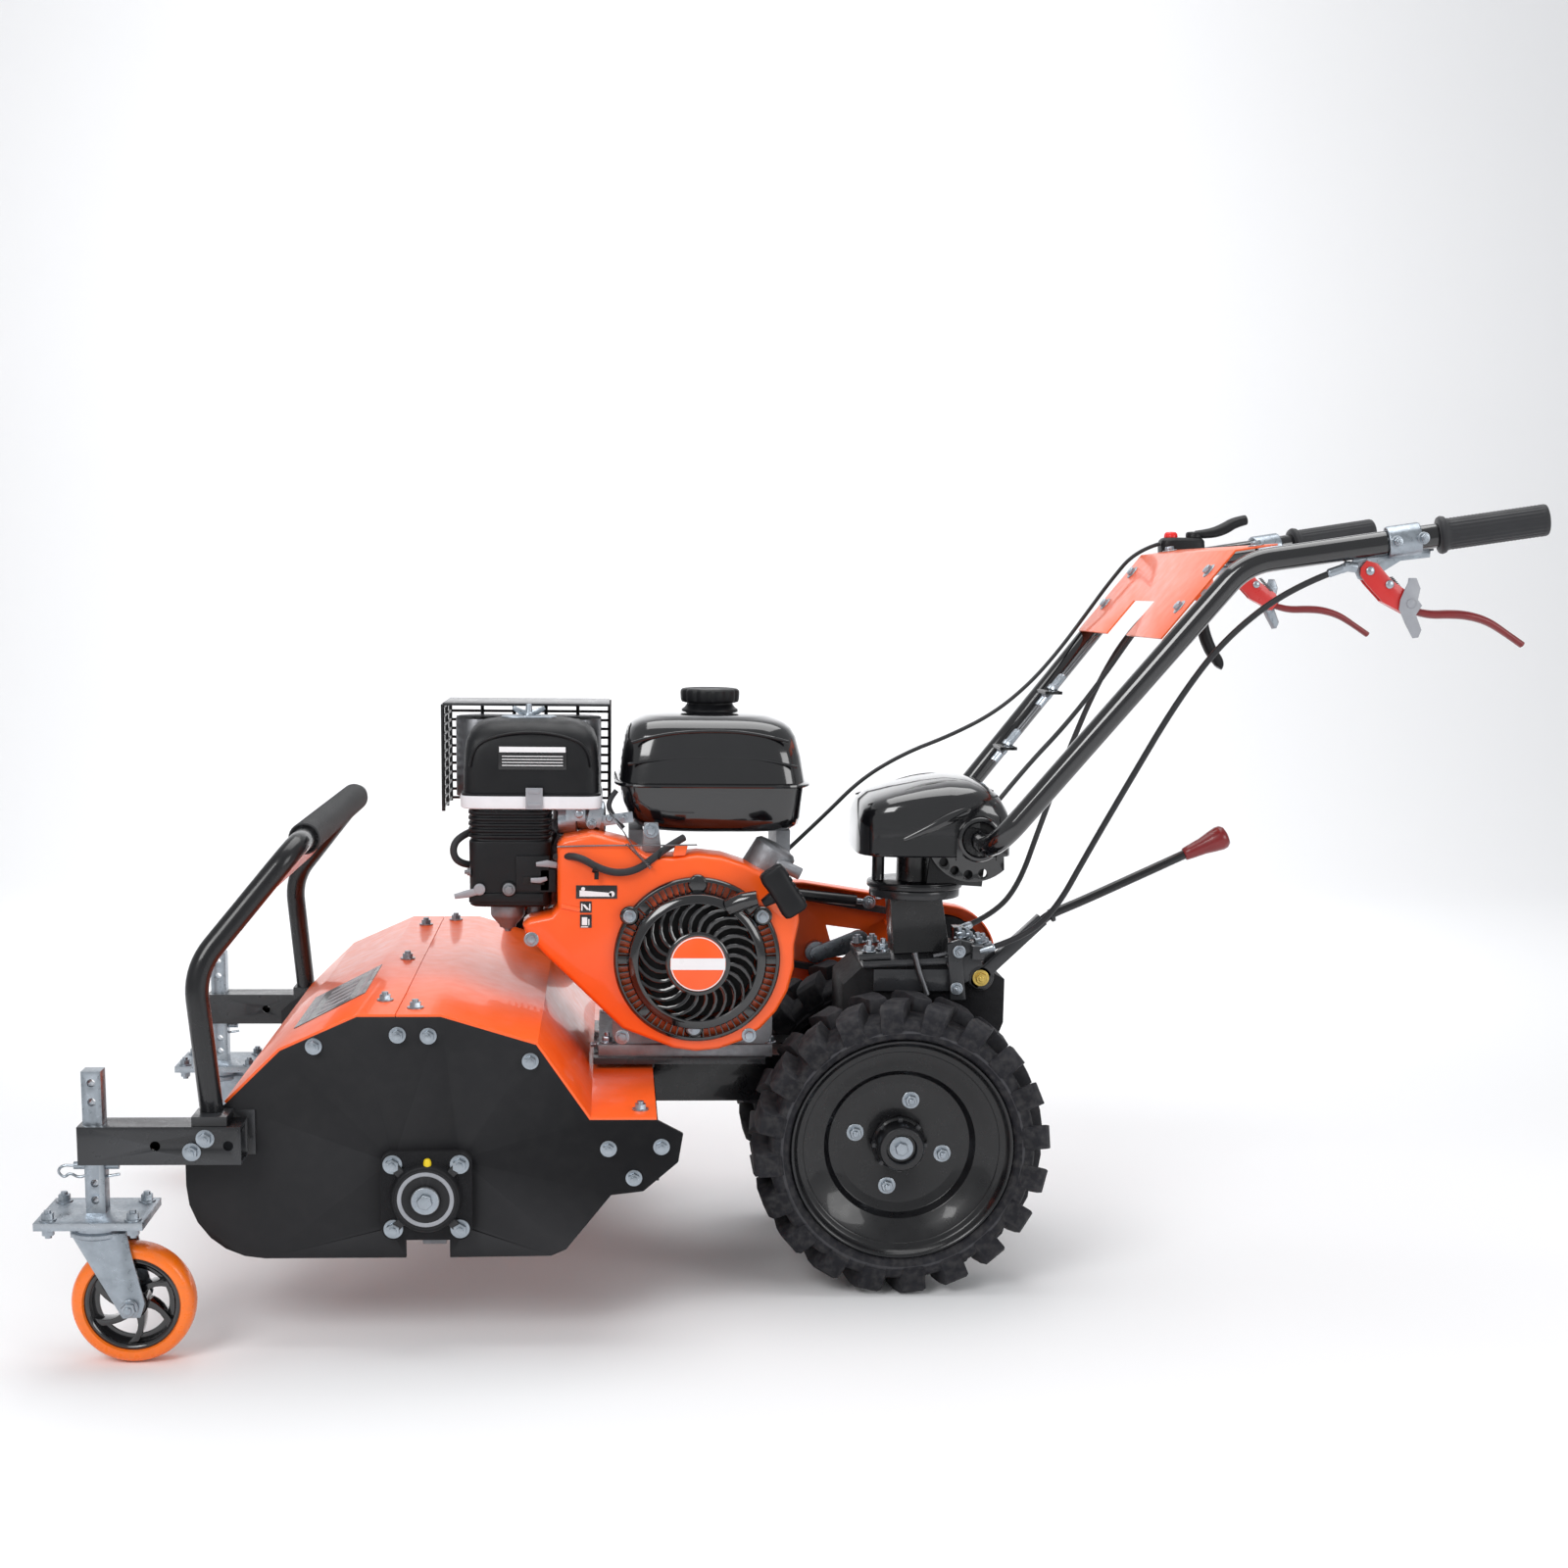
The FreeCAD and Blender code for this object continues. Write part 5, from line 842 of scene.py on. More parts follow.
def air_cleaner():
    """Domed hood with a raised arch on each side, plain label, pale base, side clip and wing nut."""
    x, y = middle_of("air_cleaner_cover")
    sections = [(572, 79, 61, 9), (575.5, 79, 61, 9), (576.5, 76.8, 58.8, 9), (600, 76.2, 58.4, 9),
                (622, 75, 57.4, 8), (634, 73.4, 55.6, 7), (643, 70, 52.4, 5.6), (650, 64, 46, 4.6),
                (655, 54, 37, 4), (657.6, 40, 26, 3.4), (658.4, 14, 9, 2.4)]
    cover = Shape().loft(stacked(x, y, sections))
    for way in (-1, 1):
        rise = [(-68, 57.2, 606), (-66, 56.8, 628), (-38, 54.8, 641), (0, 53.6, 645.4)]
        arch = rise + [(-a, b, c) for a, b, c in rise[-2::-1]]
        cover.tube(smooth_line([(x + a, y + way * b, c) for a, b, c in arch]), 1.5, 8)
    cover.done("cleaner_hood", "moulded", replaces=["air_cleaner_cover"], sharp=46)
    lean = turned_about("X", -2)
    label = Shape().box((x + 2, y - 58.7, 616), (76, 0.8, 26), lean)
    label.done("cleaner_label", "decal_black", "root", "black_plastic", bevel=0.3)
    stripes = Shape().box((x + 2, y - 59.1, 625.5), (74, 0.8, 6), lean)
    for i in range(4):
        stripes.box((x + 2, y - 59.4, 618 - 3.4 * i), (68, 0.6, 0.9), lean)
    stripes.done("cleaner_label_stripes", "decal_white", "root", "black_plastic")
    sections = [(558.5, 78, 60, 9), (559.5, 79.6, 61.6, 9), (570.5, 80.4, 62.4, 9), (573, 80, 62, 9),
                (573.4, 77, 59, 9)]
    base = Shape().loft(stacked(x, y, sections))
    base.done("cleaner_base", "pale", replaces=["air_cleaner_base"], sharp=44)
    clip = Shape().box((x + 4, y - 63.6, 571), (19, 3, 24))
    clip.box((x + 4, y - 65, 579), (13, 2, 5))
    clip.box((x + 4, y - 65, 564), (15, 2, 4))
    clip.done("cleaner_clip", "grey", bevel=0.8)
    plate = [(656.5, 31, 17, 3), (658.4, 31.6, 17.6, 3), (659.6, 31, 17, 3), (660.2, 28, 14, 3)]
    nut = Shape().loft(stacked(x - 4, y, plate, 48))
    nut.lathe([(15, 0), (15, 2.4), (7, 2), (6, 5), (4, 6), (3.4, 14), (2.6, 15)], (x - 4, y, 658), "z", 28)
    for way in (-1, 1):
        nut.tube([(x - 4, y, 662), (x - 4 + way * 10, y, 664.5), (x - 4 + way * 18, y, 669)], [3, 3.4, 2.4],
                 12, flat=0.4)
    nut.done("cleaner_wing_nut", "zinc", bevel=0.3)


def intake():
    """Ribbed duct under the air cleaner, the carburettor's bowl, the choke's tab and the fuel tap."""
    x, y = middle_of("intake_cover")
    sections = [(447, 43, 29, 6), (449, 46, 31.5, 6), (521, 46.5, 32, 6), (523, 44, 30, 5)]
    for i in range(5):
        z = 525 + 6.6 * i
        sections += [(z, 44.5, 30.4, 4.6), (z + 0.8, 47.4, 32.6, 4.6), (z + 3.6, 47.4, 32.6, 4.6),
                     (z + 4.4, 44.5, 30.4, 4.6)]
    sections += [(559, 44.5, 30.4, 4.6)]
    body = Shape().loft(stacked(x, y, sections, 72))
    body.box((x + 26, y - 31, 486), (38, 8, 40))
    body.box((x - 4, y - 31, 458), (84, 6, 10))
    body.box((x + 43, y - 24, 478), (18, 22, 26))
    body.lathe([(9, 0), (9, 3), (7, 4)], (x - 1, y - 31, 468), LEFT, 24)
    body.done("intake_duct", "moulded", replaces=["intake_cover"], bevel=1.0, sharp=40)
    metal = Shape().bolt((x - 1, y - 35, 468), LEFT, 5.2, 4, 0, washer=1.4)
    metal.lathe([(19, 0), (19.4, 2), (19.4, 12), (18, 15), (10, 24), (9, 27), (4, 27.4)], (x - 4, y - 2, 447),
                DOWN, 40)
    metal.lathe([(9, 0), (9, 12), (7, 14), (4.4, 14.4), (4.4, 19)], (x + 28, y - 2, 447), DOWN, 28)
    metal.bolt((x - 4, y - 2, 419.6), DOWN, 4, 3, 0)
    metal.bolt((x - 44, y - 22, 486), (-1, 0, 0), 4.6, 3, 3)
    metal.done("carburettor_bowl", "aluminium", replaces=["carburettor"], bevel=0.3)
    choke = Shape()
    pivot = JOINT["choke_turn"]
    choke.lathe([(6.5, 0), (6.5, 5), (5, 6)], pivot + Vector((0, 2.5, 0)), LEFT, 28)
    tab = [pivot + Vector(p) for p in ((2, -1, -1), (-14, -2, -5), (-28, -2, -8))]
    choke.tube(tab, [4, 4.4, 3], 14, flat=0.45)
    choke.done("choke_tab", "grey", "choke", "black_plastic", ["choke_lever"], bevel=0.3)
    # A dark box stands in for the shade in the slot's depth: painted shade.
    slot = Shape().box((x + 27, y - 35.2, 478), (24, 1.4, 9))
    slot.done("intake_slot_painted_shade", "dark", "root", "black_plastic", bevel=0.3)
    lever = Shape().tube([(x + 24, y - 38, 479), (x + 34, y - 39, 479), (x + 42, y - 38, 481)],
                         [2.6, 3.2, 2.2], 12, flat=0.5)
    lever.tube([(x + 30, y - 37, 497), (x + 42, y - 38, 498), (x + 53, y - 37, 496)], [2.4, 4, 3.4], 12,
               flat=0.5)
    lever.done("fuel_tap_levers", "grey")


def linkages():
    """Carburettor linkage, governor wires with a spring, hoses with clamps, and the governor's case."""
    body = Shape().lathe([(16, -30), (18, -28), (18, -8), (13, -6), (13, 16), (20, 18), (20, 24), (12, 26)],
                         (-236, -92, 545), "x", 32)
    body.box((-244, -108, 552), (22, 8, 16))
    body.box((-222, -112, 549), (16, 4, 22), turned_about("Y", 14))
    body.box((-196, -112, 547), (34, 3, 12), turned_about("Y", -8))
    body.lathe([(5, 0), (5, 8), (3, 9)], (-240, -112, 553), LEFT, 18)
    body.lathe([(4, 0), (4, 8), (3, 9)], (-206, -113, 548), LEFT, 18)
    body.bolt((-226, -115, 541), LEFT, 4, 3, 2)
    body.bolt((-190, -114, 549), LEFT, 3.6, 3, 2)
    body.done("carburettor_linkage", "zinc", bevel=0.6)
    wires = Shape().tube(smooth_line([(-264, -154, 520), (-220, -156, 522), (-160, -156, 522),
                                      (-108, -156, 523)], 6), 0.9, 8)
    wires.tube(smooth_line([(-206, -118, 556), (-196, -140, 545), (-184, -156, 528), (-172, -158, 508),
                            (-160, -158, 496)]), 0.7, 8)
    wires.tube(coil_line((-186, -157, 524), (26, 0, -26), 2.4, 15), 0.5, 6)
    wires.done("governor_wires", "steel")
    hose = Shape().tube(smooth_line([(-266, -136, 506), (-252, -152, 510), (-236, -160, 508),
                                     (-218, -161, 497), (-196, -161, 491), (-174, -158, 495),
                                     (-156, -152, 508), (-140, -142, 519), (-122, -130, 528)]), 4.2, 14)
    hose.tube(smooth_line([(-362, -96, 530), (-378, -104, 524), (-384, -108, 508), (-376, -106, 494),
                           (-362, -100, 492)]), 4.2, 14)
    hose.tube(smooth_line([(-198, -104, 578), (-208, -108, 566), (-204, -110, 552), (-190, -112, 536)]), 3,
              12)
    hose.done("engine_hoses", "rubber", "root", "belt_rubber")
    clamps = Shape()
    for x, z in ((-222, 497), (-150, 511)):
        clamps.lathe([(5.2, -2), (5.6, 0), (5.2, 2)], (x, -160 if x < -200 else -149, z), (1, 0, -0.3), 20)
    clamps.box((-220, -160, 489), (5, 4, 9))
    clamps.done("hose_clamps", "moulded", bevel=0.3)
    side = Shape().lathe([(26, 0), (26, 30), (22, 34), (10, 36)], from_crank(76, -92, 92), (0.5, 0, 0.8), 32)
    side.lathe([(7, 0), (7, 30)], from_crank(92, -112, 104), (0.9, -0.2, -0.4), 20)
    side.done("governor_case", "aluminium", bevel=0.8)


def engine_rest():
    """Finishes of the block, head and muffler guard, and the bolts of the engine's base and crankcase."""
    dress("engine_block", "aluminium", 1.5)
    dress("cylinder_head", "aluminium", 0.8)
    dress("muffler_guard", "black", 0.3)
    bolts = Shape()
    low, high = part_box("engine_block")
    z = low.z / MM + 14
    for x in (low.x / MM + 10, high.x / MM - 22):
        for y in (-86, 86):
            bolts.bolt((x, y, z), UP, 6, 6, 5)
    for x in (low.x / MM, high.x / MM - 1):
        way = -1 if x < CRANK.x else 1
        bolts.bolt((x, -70, z - 6), (way, 0, 0), 5, 4, 4)
    bolts.done("engine_base_bolts", "zinc", bevel=0.3)
    ring = Shape()
    far = high.y / MM
    for i in range(6):
        a, b = polar(44, 60 * i + 20)
        ring.bolt((CRANK.x + a, far - 2, CRANK.z + b), RIGHT, 5, 3.6, 0, washer=1.4)
    ring.done("crankcase_bolts", "zinc", bevel=0.3)


# ---------------------------------------------------------------- handle head
def handle_head():
    """Glossy cover over the head with its ridges, collars where the bars enter, and the turntable below."""
    dress("handle_turntable", "black", 0.8)
    dress("handle_column", "black", 1.2)
    swivel = JOINT["head_swivel"]
    shell = Shape()
    stations = [(-76, 62, 76, 34), (-74.6, 78, 92, 52), (-69, 87, 104, 67), (-58, 92, 113, 79),
                (-34, 97, 121.5, 86), (0, 101, 130, 88), (28, 102, 134.5, 87.5), (52, 100, 134, 86),
                (74, 96, 128, 83), (88, 91, 118, 79), (97, 84, 104, 74), (101, 66, 78, 67)]
    base = 45.5
    loops = []
    for x, wall, top, wide in stations:
        half = [(-wide, base), (-wide - 1.2, base + 2), (-wide, base + 5),
                (-wide, base + (wall - base) * 0.5)]
        for k in range(13):
            angle = math.pi * k / 12
            c, s = math.cos(angle), math.sin(angle)
            half.append((-wide * math.copysign(abs(c) ** 0.72, c), wall + (top - wall) * abs(s) ** 0.72))
        half += [(wide, base + (wall - base) * 0.5), (wide, base + 5), (wide + 1.2, base + 2), (wide, base)]
        loops.append([Vector((swivel.x + x, y, swivel.z + z)) for y, z in half])
    shell.loft(loops)
    shell.done("head_cover_shell", "gloss", "head", replaces=["handle_cover"], sharp=48)
    trim = Shape()
    pivot = JOINT["bars_tilt"]
    for side in (-1, 1):
        ring = [(19.5, 78), (19.5, 90), (21.5, 92), (25, 91), (27, 87), (27.5, 78)]
        trim.lathe(ring, (pivot.x, 0, pivot.z), (0, side, 0), 48, ring=True)
        for way in (-1, 1):
            trim.box((pivot.x + way * 23.4, side * 86, pivot.z - 12), (7, 9, 26))
        ridge = [(-26, -86.5, 66), (0, -88.6, 78), (28, -87.5, 92), (56, -82, 104), (84, -74, 108)]
        line = smooth_line([(swivel.x + x, -side * y, swivel.z + z) for x, y, z in ridge])
        shares = [math.sin(math.pi * (0.08 + 0.88 * i / (len(line) - 1))) for i in range(len(line))]
        trim.tube(line, [1 + 5.5 * t for t in shares], 16, flat=0.6)
        crest = [(-66, 62, 104), (-30, 58, 116), (10, 52, 128), (50, 48, 130), (84, 44, 119)]
        line = smooth_line([(swivel.x + x, side * y, swivel.z + z) for x, y, z in crest])
        trim.tube(line, [1 + 2.6 * math.sin(math.pi * i / (len(line) - 1)) for i in range(len(line))], 12)
    trim.done("head_cover_trim", "gloss", "head", bevel=0.6, sharp=50)
    # Dark discs inside the collars round the bars: painted shade.
    dark = Shape()
    for side in (-1, 1):
        dark.lathe([(19.4, 80), (19.4, 84.6), (1, 84.6)], (pivot.x, 0, pivot.z), (0, side, 0), 40)
    dark.done("head_cover_painted_shade", "dark", "head")
    under = Shape()
    for z, r in ((0.2, 56), (-7.5, 52)):
        under.lathe([(r, z), (r + 1, z + 1), (r + 1, z + 6), (r, z + 7)], (swivel.x, 0, swivel.z), "z", 64)
    under.done("turntable_plates", "black", "head", bevel=0.5)
    bolts = Shape()
    for side in (-1, 1):
        bolts.bolt((swivel.x - 44, side * 16, swivel.z - 8), DOWN, 4.6, 4, 0)
    bolts.done("turntable_bolts", "zinc", "head", bevel=0.3)


def gearbox_details():
    """Clamp blocks, bolts and linkage rods on the gearbox, with the black strut beside the belt cover."""
    dress("gearbox_housing", "cast", 2.0)
    dress("tension_arm", "zinc", 0.8)
    blocks = Shape().box((226, -46, 386), (44, 34, 18), turned_about("Y", 14))
    blocks.box((106, -50, 380), (38, 30, 8), turned_about("Y", -3))
    blocks.box((214, -60, 366), (40, 20, 30), turned_about("Y", -20))
    blocks.box((150, -62, 352), (90, 8, 26))
    blocks.lathe([(17, -8), (17, 8), (14, 10), (8, 10)], (231, -58, 356), LEFT, 36)
    blocks.prism([(196, 330), (214, 330), (206, 402), (190, 396)], -74, -64)
    blocks.done("gearbox_clamps", "black", bevel=1.4)
    bolts = Shape()
    for x, y, z, lean in ((100, -56, 384.5, 0.03), (118, -44, 385, 0.03), (212, -40, 399, -0.25),
                          (232, -52, 394, -0.25), (222, -34, 397, -0.25), (240, -40, 391, -0.25)):
        bolts.bolt((x, y, z), (lean, 0, 1), 6.2, 6, 6)
    bolts.bolt((204, -75, 388), LEFT, 5.4, 4, 3)
    bolts.bolt((202, -75, 344), LEFT, 5.4, 4, 3)
    bolts.done("gearbox_bolts", "zinc", bevel=0.3)
    rods = Shape().tube([(152, -70, 386), (158, -71, 364), (168, -72, 336)], 3.6, 14)
    rods.tube([(176, -60, 380), (206, -60, 386), (232, -58, 380)], 3, 12)
    rods.done("clutch_rods", "steel")
    strut = Shape().tube([(-16, 176, 424), (112, 176, 410)], 7.5, 24)
    strut.done("belt_strut", "black", bevel=0.8)
    ends = Shape().tube([(-34, 176, 426), (-16, 176, 424)], 4, 14)
    ends.tube([(112, 176, 410), (128, 176, 408)], 4, 14)
    ends.bolt((-34, 174, 426), LEFT, 6, 5, 3)
    ends.bolt((128, 174, 408), LEFT, 6, 5, 3)
    ends.done("belt_strut_ends", "zinc", bevel=0.3)
    loom = Shape()
    for shift in (0, 3, 6):
        route = [(-20, -96, 440 - shift), (0, -60, 452), (18, 20 + 8 * shift, 446), (26, 90, 430 + shift),
                 (20, 150, 424), (4, 172, 414), (12, 176, 398), (26, 176, 404), (24, 172, 420)]
        loom.tube(smooth_line(route), 1.5, 8)
    loom.done("wiring_loom", "rubber", "root", "belt_rubber")


def gear_lever():
    """Folded channel on its pivot, a bent rod and a red knob."""
    pivot = JOINT["gear_shift"]
    y = pivot.y
    bend = Vector((pivot.x + 73, y, pivot.z + 69))
    tip = Vector((508, y, 521))
    along = (bend - pivot).normalized()
    square = Vector((-along.z, 0, along.x))
    channel = Shape()
    for way in (-1, 1):
        outline = []
        for a, b in ((-12, -7), (100, -6), (100, 6), (-6, 10), (-14, 4)):
            spot = along * a + square * b
            outline.append((spot.x, spot.z))
        channel.prism(outline, way * 5.5 - 1.5, way * 5.5 + 1.5, "y", pivot)
    spine = [along * a + square * b for a, b in ((6, 6), (100, 6), (100, 8.6), (6, 8.6))]
    channel.prism([(p.x, p.z) for p in spine], -7, 7, "y", pivot)
    channel.lathe([(13.5, -7), (13.5, 7)], pivot, "y", 36)
    channel.done("gear_channel", "black", "gear", replaces=["gear_lever"], bevel=0.9)
    way = (tip - bend).normalized()
    line = smooth_line([pivot + along * 78, bend + along * 2, bend + along * 6 + way * 10, bend + way * 60,
                        tip - way * 30])
    shaft = Shape().tube(line, 5.5, 20)
    shaft.lathe([(5.6, -34), (8, -33), (8, -29), (5.6, -28)], bend + way * 42, way, 28)
    shaft.done("gear_shaft", "black", "gear", bevel=0.4)
    knob = Shape()
    profile = [(6.4, -42), (7.4, -41), (8.4, -34), (10, -18), (12.6, -6), (14.2, 3), (13.8, 8), (11, 11.6),
               (6, 13), (1, 13.4)]
    knob.lathe(profile, tip - way * 2, way, 44)
    knob.done("gear_knob", "vinyl", "gear", sharp=60)
    pin = Shape().bolt((pivot.x, y - 7, pivot.z), LEFT, 7, 5, 2)
    pin.done("gear_pivot_bolt", "brass", "gear", bevel=0.4)


# ---------------------------------------------------------------- bars, levers and controls
BAR_END = Vector((785, 255, 886))
BAR_BEND = Vector((478, 213, 838))


def on_bar(side, x):
    """A point on the upper run of a bar's axis, and the run's direction."""
    way = (BAR_END - BAR_BEND) / (BAR_END.x - BAR_BEND.x)
    spot = BAR_BEND + way * (x - BAR_BEND.x)
    return Vector((spot.x, side * spot.y, spot.z)), Vector((way.x, side * way.y, way.z)).normalized()


def bars():
    """Finishes of the bars and console, diamond-cut grips, the safety lever and the console's bolts."""
    dress("handlebar", "gloss", 0.5)
    dress("console", "orange", 0.5)
    dress("lever_brackets", "zinc", 0.6)
    grips = Shape()
    points = 108
    for side in (-1, 1):
        end, way = on_bar(side, BAR_END.x)
        u, v, w = plane_of(way)
        stations = [(13.4, -110, 0), (19, -109, 0), (20.2, -106.5, 0), (19.4, -103, 0), (17, -101, 0)]
        stations += [(16.5, -99 + 1.9 * i, 0.55) for i in range(51)]
        stations += [(16.8, -1, 0), (16.9, 0.6, 0), (16.2, 2.6, 0), (12, 3.6, 0), (1, 3.8, 0)]
        loops = []
        for radius, height, depth in stations:
            loop = []
            for k in range(points):
                angle = 2 * math.pi * k / points
                twist = height * 2 * math.pi / 7.6
                reach = radius + depth * math.cos(12 * angle + twist) * math.cos(12 * angle - twist)
                loop.append(end + (u * math.cos(angle) + v * math.sin(angle)) * reach + w * (height - 2))
            loops.append(loop)
        grips.loft(loops)
    grips.done("moulded_grips", "rubber", "bars", replaces=["grips"], sharp=60)
    low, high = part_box("hand_lever")
    pivot = JOINT["safety_squeeze"]
    foot = Vector(((low.x + high.x) / 2 / MM + 12, pivot.y, low.z / MM + 5))
    reach = foot - pivot
    bow = Vector((-8, 0, -2))
    points = [pivot, pivot + reach * 0.25 + bow * 0.6, pivot + reach * 0.5 + bow,
              pivot + reach * 0.78 + bow * 0.5, foot + Vector((3, 0, 4)), foot]
    line = smooth_line(points)
    widths = [5.2 + 2.2 * math.sin(math.pi * i / (len(line) - 1)) for i in range(len(line))]
    finger = Shape().tube(line, widths, 20, flat=1.25)
    finger.lathe([(8, -9), (9, -8), (9, 8), (8, 9)], pivot, "y", 32)
    finger.done("safety_finger_lever", "moulded", "safety", replaces=["hand_lever"], sharp=50)
    pin = Shape()
    for way in (-1, 1):
        pin.lathe([(4.4, 8.8), (4.4, 11.4), (3, 12.4)], pivot, (0, way, 0), 20)
    pin.done("safety_lever_pin", "zinc", "safety")
    bolts = Shape()
    for side in (-1, 1):
        for x, y, z, way in ((452, 168, 829.5, (-0.777, 0, 0.63)), (420, 172, 790, (-0.777, 0, 0.63)),
                             (500, 176, 857, (-0.15, 0, 0.99))):
            bolts.bolt((x, side * y, z), way, 5.6, 4.4, 0, washer=1.6)
    bolts.done("console_bolts", "zinc", "bars", bevel=0.3)


def clutch_lever(name, side):
    """Red channel with a rivet, a wavy vinyl-covered blade, and the zinc catch with its spring."""
    pivot = JOINT[f"clutch_{name}_squeeze"]
    body = f"clutch_{name}"
    node = f"clutch_lever_{name}"
    channel = Shape()
    cheek = [(-10, 3), (-4, 11), (8, 8), (24, -9), (48, -25), (54, -35), (44, -47), (16, -33), (-3, -14),
             (-10, -5)]
    for way in (-1, 1):
        channel.prism(cheek, way * 4.9 - 1.2, way * 4.9 + 1.2, "y", pivot)
    channel.prism([(14, -32), (18, -27), (50, -41), (43, -46)], -5.6, 5.6, "y", pivot)
    channel.prism([(-8, 4), (-4, 10), (0, 8), (-4, 2)], -5.6, 5.6, "y", pivot)
    channel.done(f"clutch_channel_{name}", "red", body, replaces=[node], bevel=0.8)
    route = [(40, 0, -38), (52, 0, -42), (70, 0, -46), (92, 0, -45), (112, 0, -46), (134, 0, -52),
             (154, 0, -64), (174, 0, -77)]
    line = smooth_line([pivot + Vector(p) for p in route], 6)
    reach = [3.6 + 1.2 * math.sin(math.pi * min(1, 1.1 * i / (len(line) - 1))) for i in range(len(line))]
    blade = Shape().tube(line, reach, 18, flat=1.5)
    blade.done(f"clutch_blade_{name}", "vinyl", body, sharp=60)
    metal = Shape()
    for x, z in ((0, 0), (22, -14)):
        for way in (-1, 1):
            metal.lathe([(4.6, 0), (4.4, 1.6), (2.6, 2.6)], pivot + Vector((x, way * 6, z)), (0, way, 0), 24)
    metal.done(f"clutch_rivets_{name}", "zinc", body)
    dress(f"lever_latch_{name}", "zinc", 0.3)
    catch = JOINT[f"latch_{name}_flip"]
    plate = Shape()
    outline = [(-9, 12), (-3, 27), (4, 27), (9, 16), (7, 4), (12, -2), (6, -12), (13, -28), (10, -36),
               (4, -37), (-5, -22), (-13, -6), (-12, 4)]
    y = catch.y + side * 8.4
    plate.prism(outline, y - 0.9, y + 0.9, "y", (catch.x, 0, catch.z))
    plate.lathe([(5, 0), (5, 2), (3, 3)], (catch.x, y, catch.z), (0, side, 0), 24)
    plate.done(f"latch_plate_{name}", "grey", f"latch_{name}", "zinc", bevel=0.4)
    bracket = Shape()
    spot, way = on_bar(side, 640)
    bracket.lathe([(13.4, -17), (16.6, -17), (17.2, -16), (17.2, 16), (16.6, 17), (13.4, 17)], spot, way, 48,
                  ring=True)
    for x in (628, 655):
        here = on_bar(side, x)[0]
        bracket.bolt(here + Vector((0, side * 17, 0)), (0, side, 0), 4.6, 3.6, 2)
    bracket.box((pivot.x + 40, pivot.y, pivot.z + 24), (58, 3.4, 13), turned_about("Y", -9))
    bracket.lathe([(4.4, -6), (5.6, -5), (5.6, 8), (4, 9)], pivot + Vector((-18, 0, 4)), (-0.98, 0, 0.1), 20)
    bracket.done(f"lever_clamp_{name}", "zinc", "bars", bevel=0.5)
    turns = [pivot + Vector(p) for p in coil_line((27, side * -5, -6), (15, 0, -16), 2.2, 9)]
    spring = Shape().tube(turns, 0.55, 6)
    spring.done(f"lever_spring_{name}", "steel", body)


def throttle():
    """Throttle box on the right bar with its paddle and the red stop button."""
    spot = on_bar(1, 522)[0]
    top = spot.z + 13
    house = Shape().loft([rounded((526, spot.y), (28 + grow, 17 + grow), 4, top + z, 40) for z,
                          grow in ((-8, -1), (-6, 0), (6, 0.6), (13, 0), (16, -2.5), (17.2, -6))])
    house.done("throttle_box", "moulded", "bars", replaces=["throttle_housing"], bevel=0.4, sharp=44)
    button = Shape().lathe([(8.6, 12), (8.6, 19), (8, 22), (6, 24), (1, 24.6)], (512, spot.y, top), "z", 40,
                           wave=lambda a: 1 + 0.03 * math.cos(10 * a))
    button.done("stop_knob", "button", "stop", replaces=["stop_button"])
    hub = Vector((542, spot.y, top + 17.4))
    lever = Shape().lathe([(10.5, 0), (10.5, 5), (9, 7), (4, 7.6)], hub, "z", 36)
    rise = ((2, 0, 4), (20, 0, 5), (38, 0, 11), (52, 0, 20), (66, 0, 23))
    line = smooth_line([hub + Vector(p) for p in rise])
    lever.tube(line, [5 + 1.8 * math.sin(math.pi * i / (len(line) - 1)) + 1.4 * i / (len(line) - 1)
                      for i in range(len(line))], 18, flat=1.5)
    lever.done("throttle_paddle", "moulded", "throttle", replaces=["throttle_lever"], sharp=55)


# ---------------------------------------------------------------- cables
CLUTCH_ROUTE = [(0.583, -0.231, 0.835), (0.528, -0.225, 0.815), (0.462, -0.208, 0.759),
                (0.417, -0.190, 0.689), (0.373, -0.162, 0.594), (0.338, -0.132, 0.513),
                (0.308, -0.106, 0.440), (0.272, -0.088, 0.405), (0.229, -0.076, 0.389)]
THROTTLE_ROUTE = [(0.4965, 0.213, 0.867), (0.466, 0.213, 0.858), (0.434, 0.212, 0.819), (0.402, 0.205, 0.776),
                  (0.366, 0.186, 0.732), (0.324, 0.160, 0.690), (0.274, 0.132, 0.654), (0.216, 0.106, 0.628),
                  (0.156, 0.080, 0.608), (0.100, 0.058, 0.578), (0.052, 0.034, 0.534), (0.006, 0.006, 0.496)]
SAFETY_ROUTE = [(0.470, 0.060, 0.812), (0.436, 0.074, 0.762), (0.398, 0.084, 0.700), (0.354, 0.084, 0.642),
                (0.306, 0.070, 0.594), (0.268, 0.040, 0.556)]


def cable(name, route, radius, stretches):
    """A cable in stretches, each a tube along its share of the line that rides on no body; the first hides the
    CAD cables.

    A stretch is its share of the line, its two bodies, and the share of itself over which it was to bend; the
    two bodies and that share are not used.
    """
    line = [p / MM for p in smooth_line(route, 14)]
    for index, (span, bodies, bend) in enumerate(stretches):
        start, end = (int(share * (len(line) - 1)) for share in span)
        part = line[start:end + 1]
        piece = Shape().tube(part, radius, 14).done(f"{name}_{index}", "rubber", None, "black_plastic")
        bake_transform(piece)
        if index == 0:
            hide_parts("control_cables")


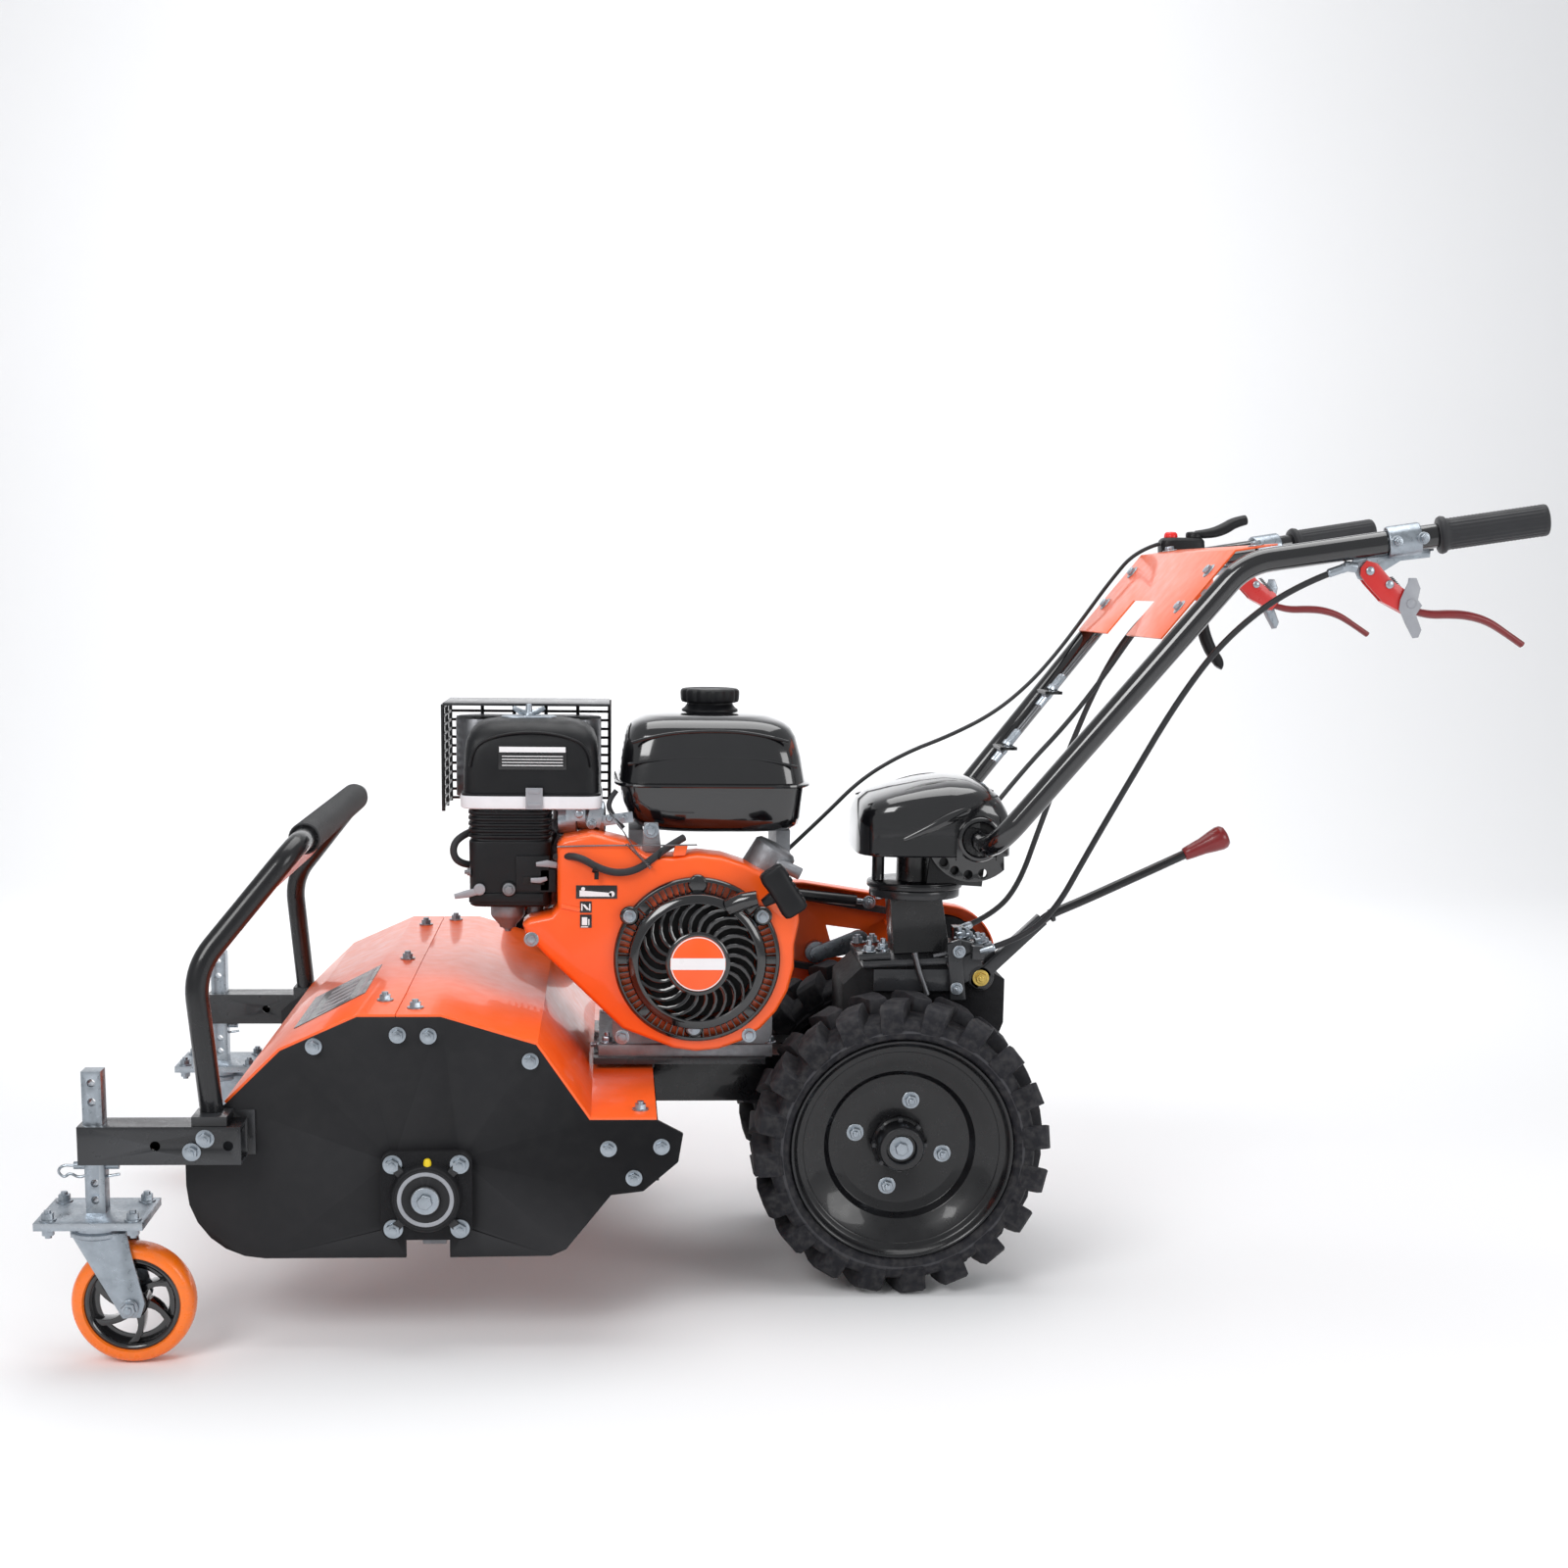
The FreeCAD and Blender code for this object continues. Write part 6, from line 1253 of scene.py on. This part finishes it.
def cables():
    """All four cables, with the clutch cables' sleeves at the levers and clips at the column."""
    upper, lower = ("bars", "head"), ("head", "root")
    clutch = [((0, 0.64), upper, (0.15, 0.98)), ((0.64, 1), lower, (0.02, 0.85))]
    throttle_run = [((0, 0.66), upper, (0.1, 0.95)), ((0.66, 1), lower, (0.05, 0.9))]
    for name, side in SIDES:
        route = [(x, -side * y, z) for x, y, z in CLUTCH_ROUTE]
        cable(f"clutch_cable_{name}", route, 3.5, clutch)
        sleeve = Shape()
        tip = Vector(route[0]) / MM
        way = (Vector(route[0]) - Vector(route[1])).normalized()
        sleeve.lathe([(3.6, -22), (4.8, -20), (4.8, 0), (3.4, 1)], tip, way, 20)
        sleeve.lathe([(5.6, -6), (5.6, 4)], tip, way, 6)
        sleeve.lathe([(1.2, 0), (1.2, 22)], tip, way, 10)
        sleeve.done(f"clutch_adjuster_{name}", "zinc", "bars", bevel=0.3)
        clip = Shape().box((226, 68 * side, 387), (14, 24, 16))
        clip.done(f"cable_clip_{name}", "black", bevel=1.0)
        foot = Vector(route[-1]) / MM
        ferrule = Shape().lathe([(3.6, -18), (4.8, -16), (4.8, 0), (3.4, 1)], foot,
                                foot - Vector(route[-2]) / MM, 20)
        ferrule.done(f"cable_ferrule_{name}", "zinc", bevel=0.3)
    cable("throttle_cable", THROTTLE_ROUTE, 2.5, throttle_run)
    cable("safety_cable", SAFETY_ROUTE, 3.0, [((0, 1), upper, (0.1, 0.95))])
    adjusters()


def adjusters():
    """Zinc barrel adjusters beside the right bar, in pairs, with bare inner wires."""
    low, high = Vector((222, 176, 522)), Vector((478, 213, 838))
    along = (high - low).normalized()
    near, far, inward = 0.28, 0.5, -34
    metal, wire = Shape(), Shape()
    for share in (near, far):
        spot = low + (high - low) * share + Vector((0, inward, 0))
        for shift in (-8, 8):
            here = spot + Vector((0, shift, 0))
            metal.lathe([(5, 3), (5, 9), (3.6, 10), (3.6, 26), (2, 28)], here, along, 6)
            metal.lathe([(5, -3), (5, -8), (3.4, -9), (3.4, -22), (2, -23)], here, along, 6)
    for shift in (-8, 8):
        start, end = (low + (high - low) * share + Vector((0, inward + shift, 0)) for share in (near, far))
        wire.tube([start, end], 1.1, 8)
        wire.tube(smooth_line([end, end + along * 46, end + along * 80 + Vector((10, 8, 8))]), 1.1, 8)
    metal.done("cable_adjusters", "zinc", "bars", bevel=0.3)
    wire.done("inner_wires", "steel", "bars")


stage()
camera()
deck()
deck_decal()
for wheel_name, wheel_side in SIDES:
    drive_wheel(wheel_name, wheel_side)
    caster_wheel(wheel_name, wheel_side)
    caster_mount(wheel_name, wheel_side)
    bearing(wheel_name, wheel_side)
shroud()
recoil()
pull_handle()
tank()
air_cleaner()
intake()
linkages()
engine_rest()
handle_head()
gearbox_details()
gear_lever()
bars()
for lever_name, lever_side in SIDES:
    clutch_lever(lever_name, lever_side)
throttle()
cables()
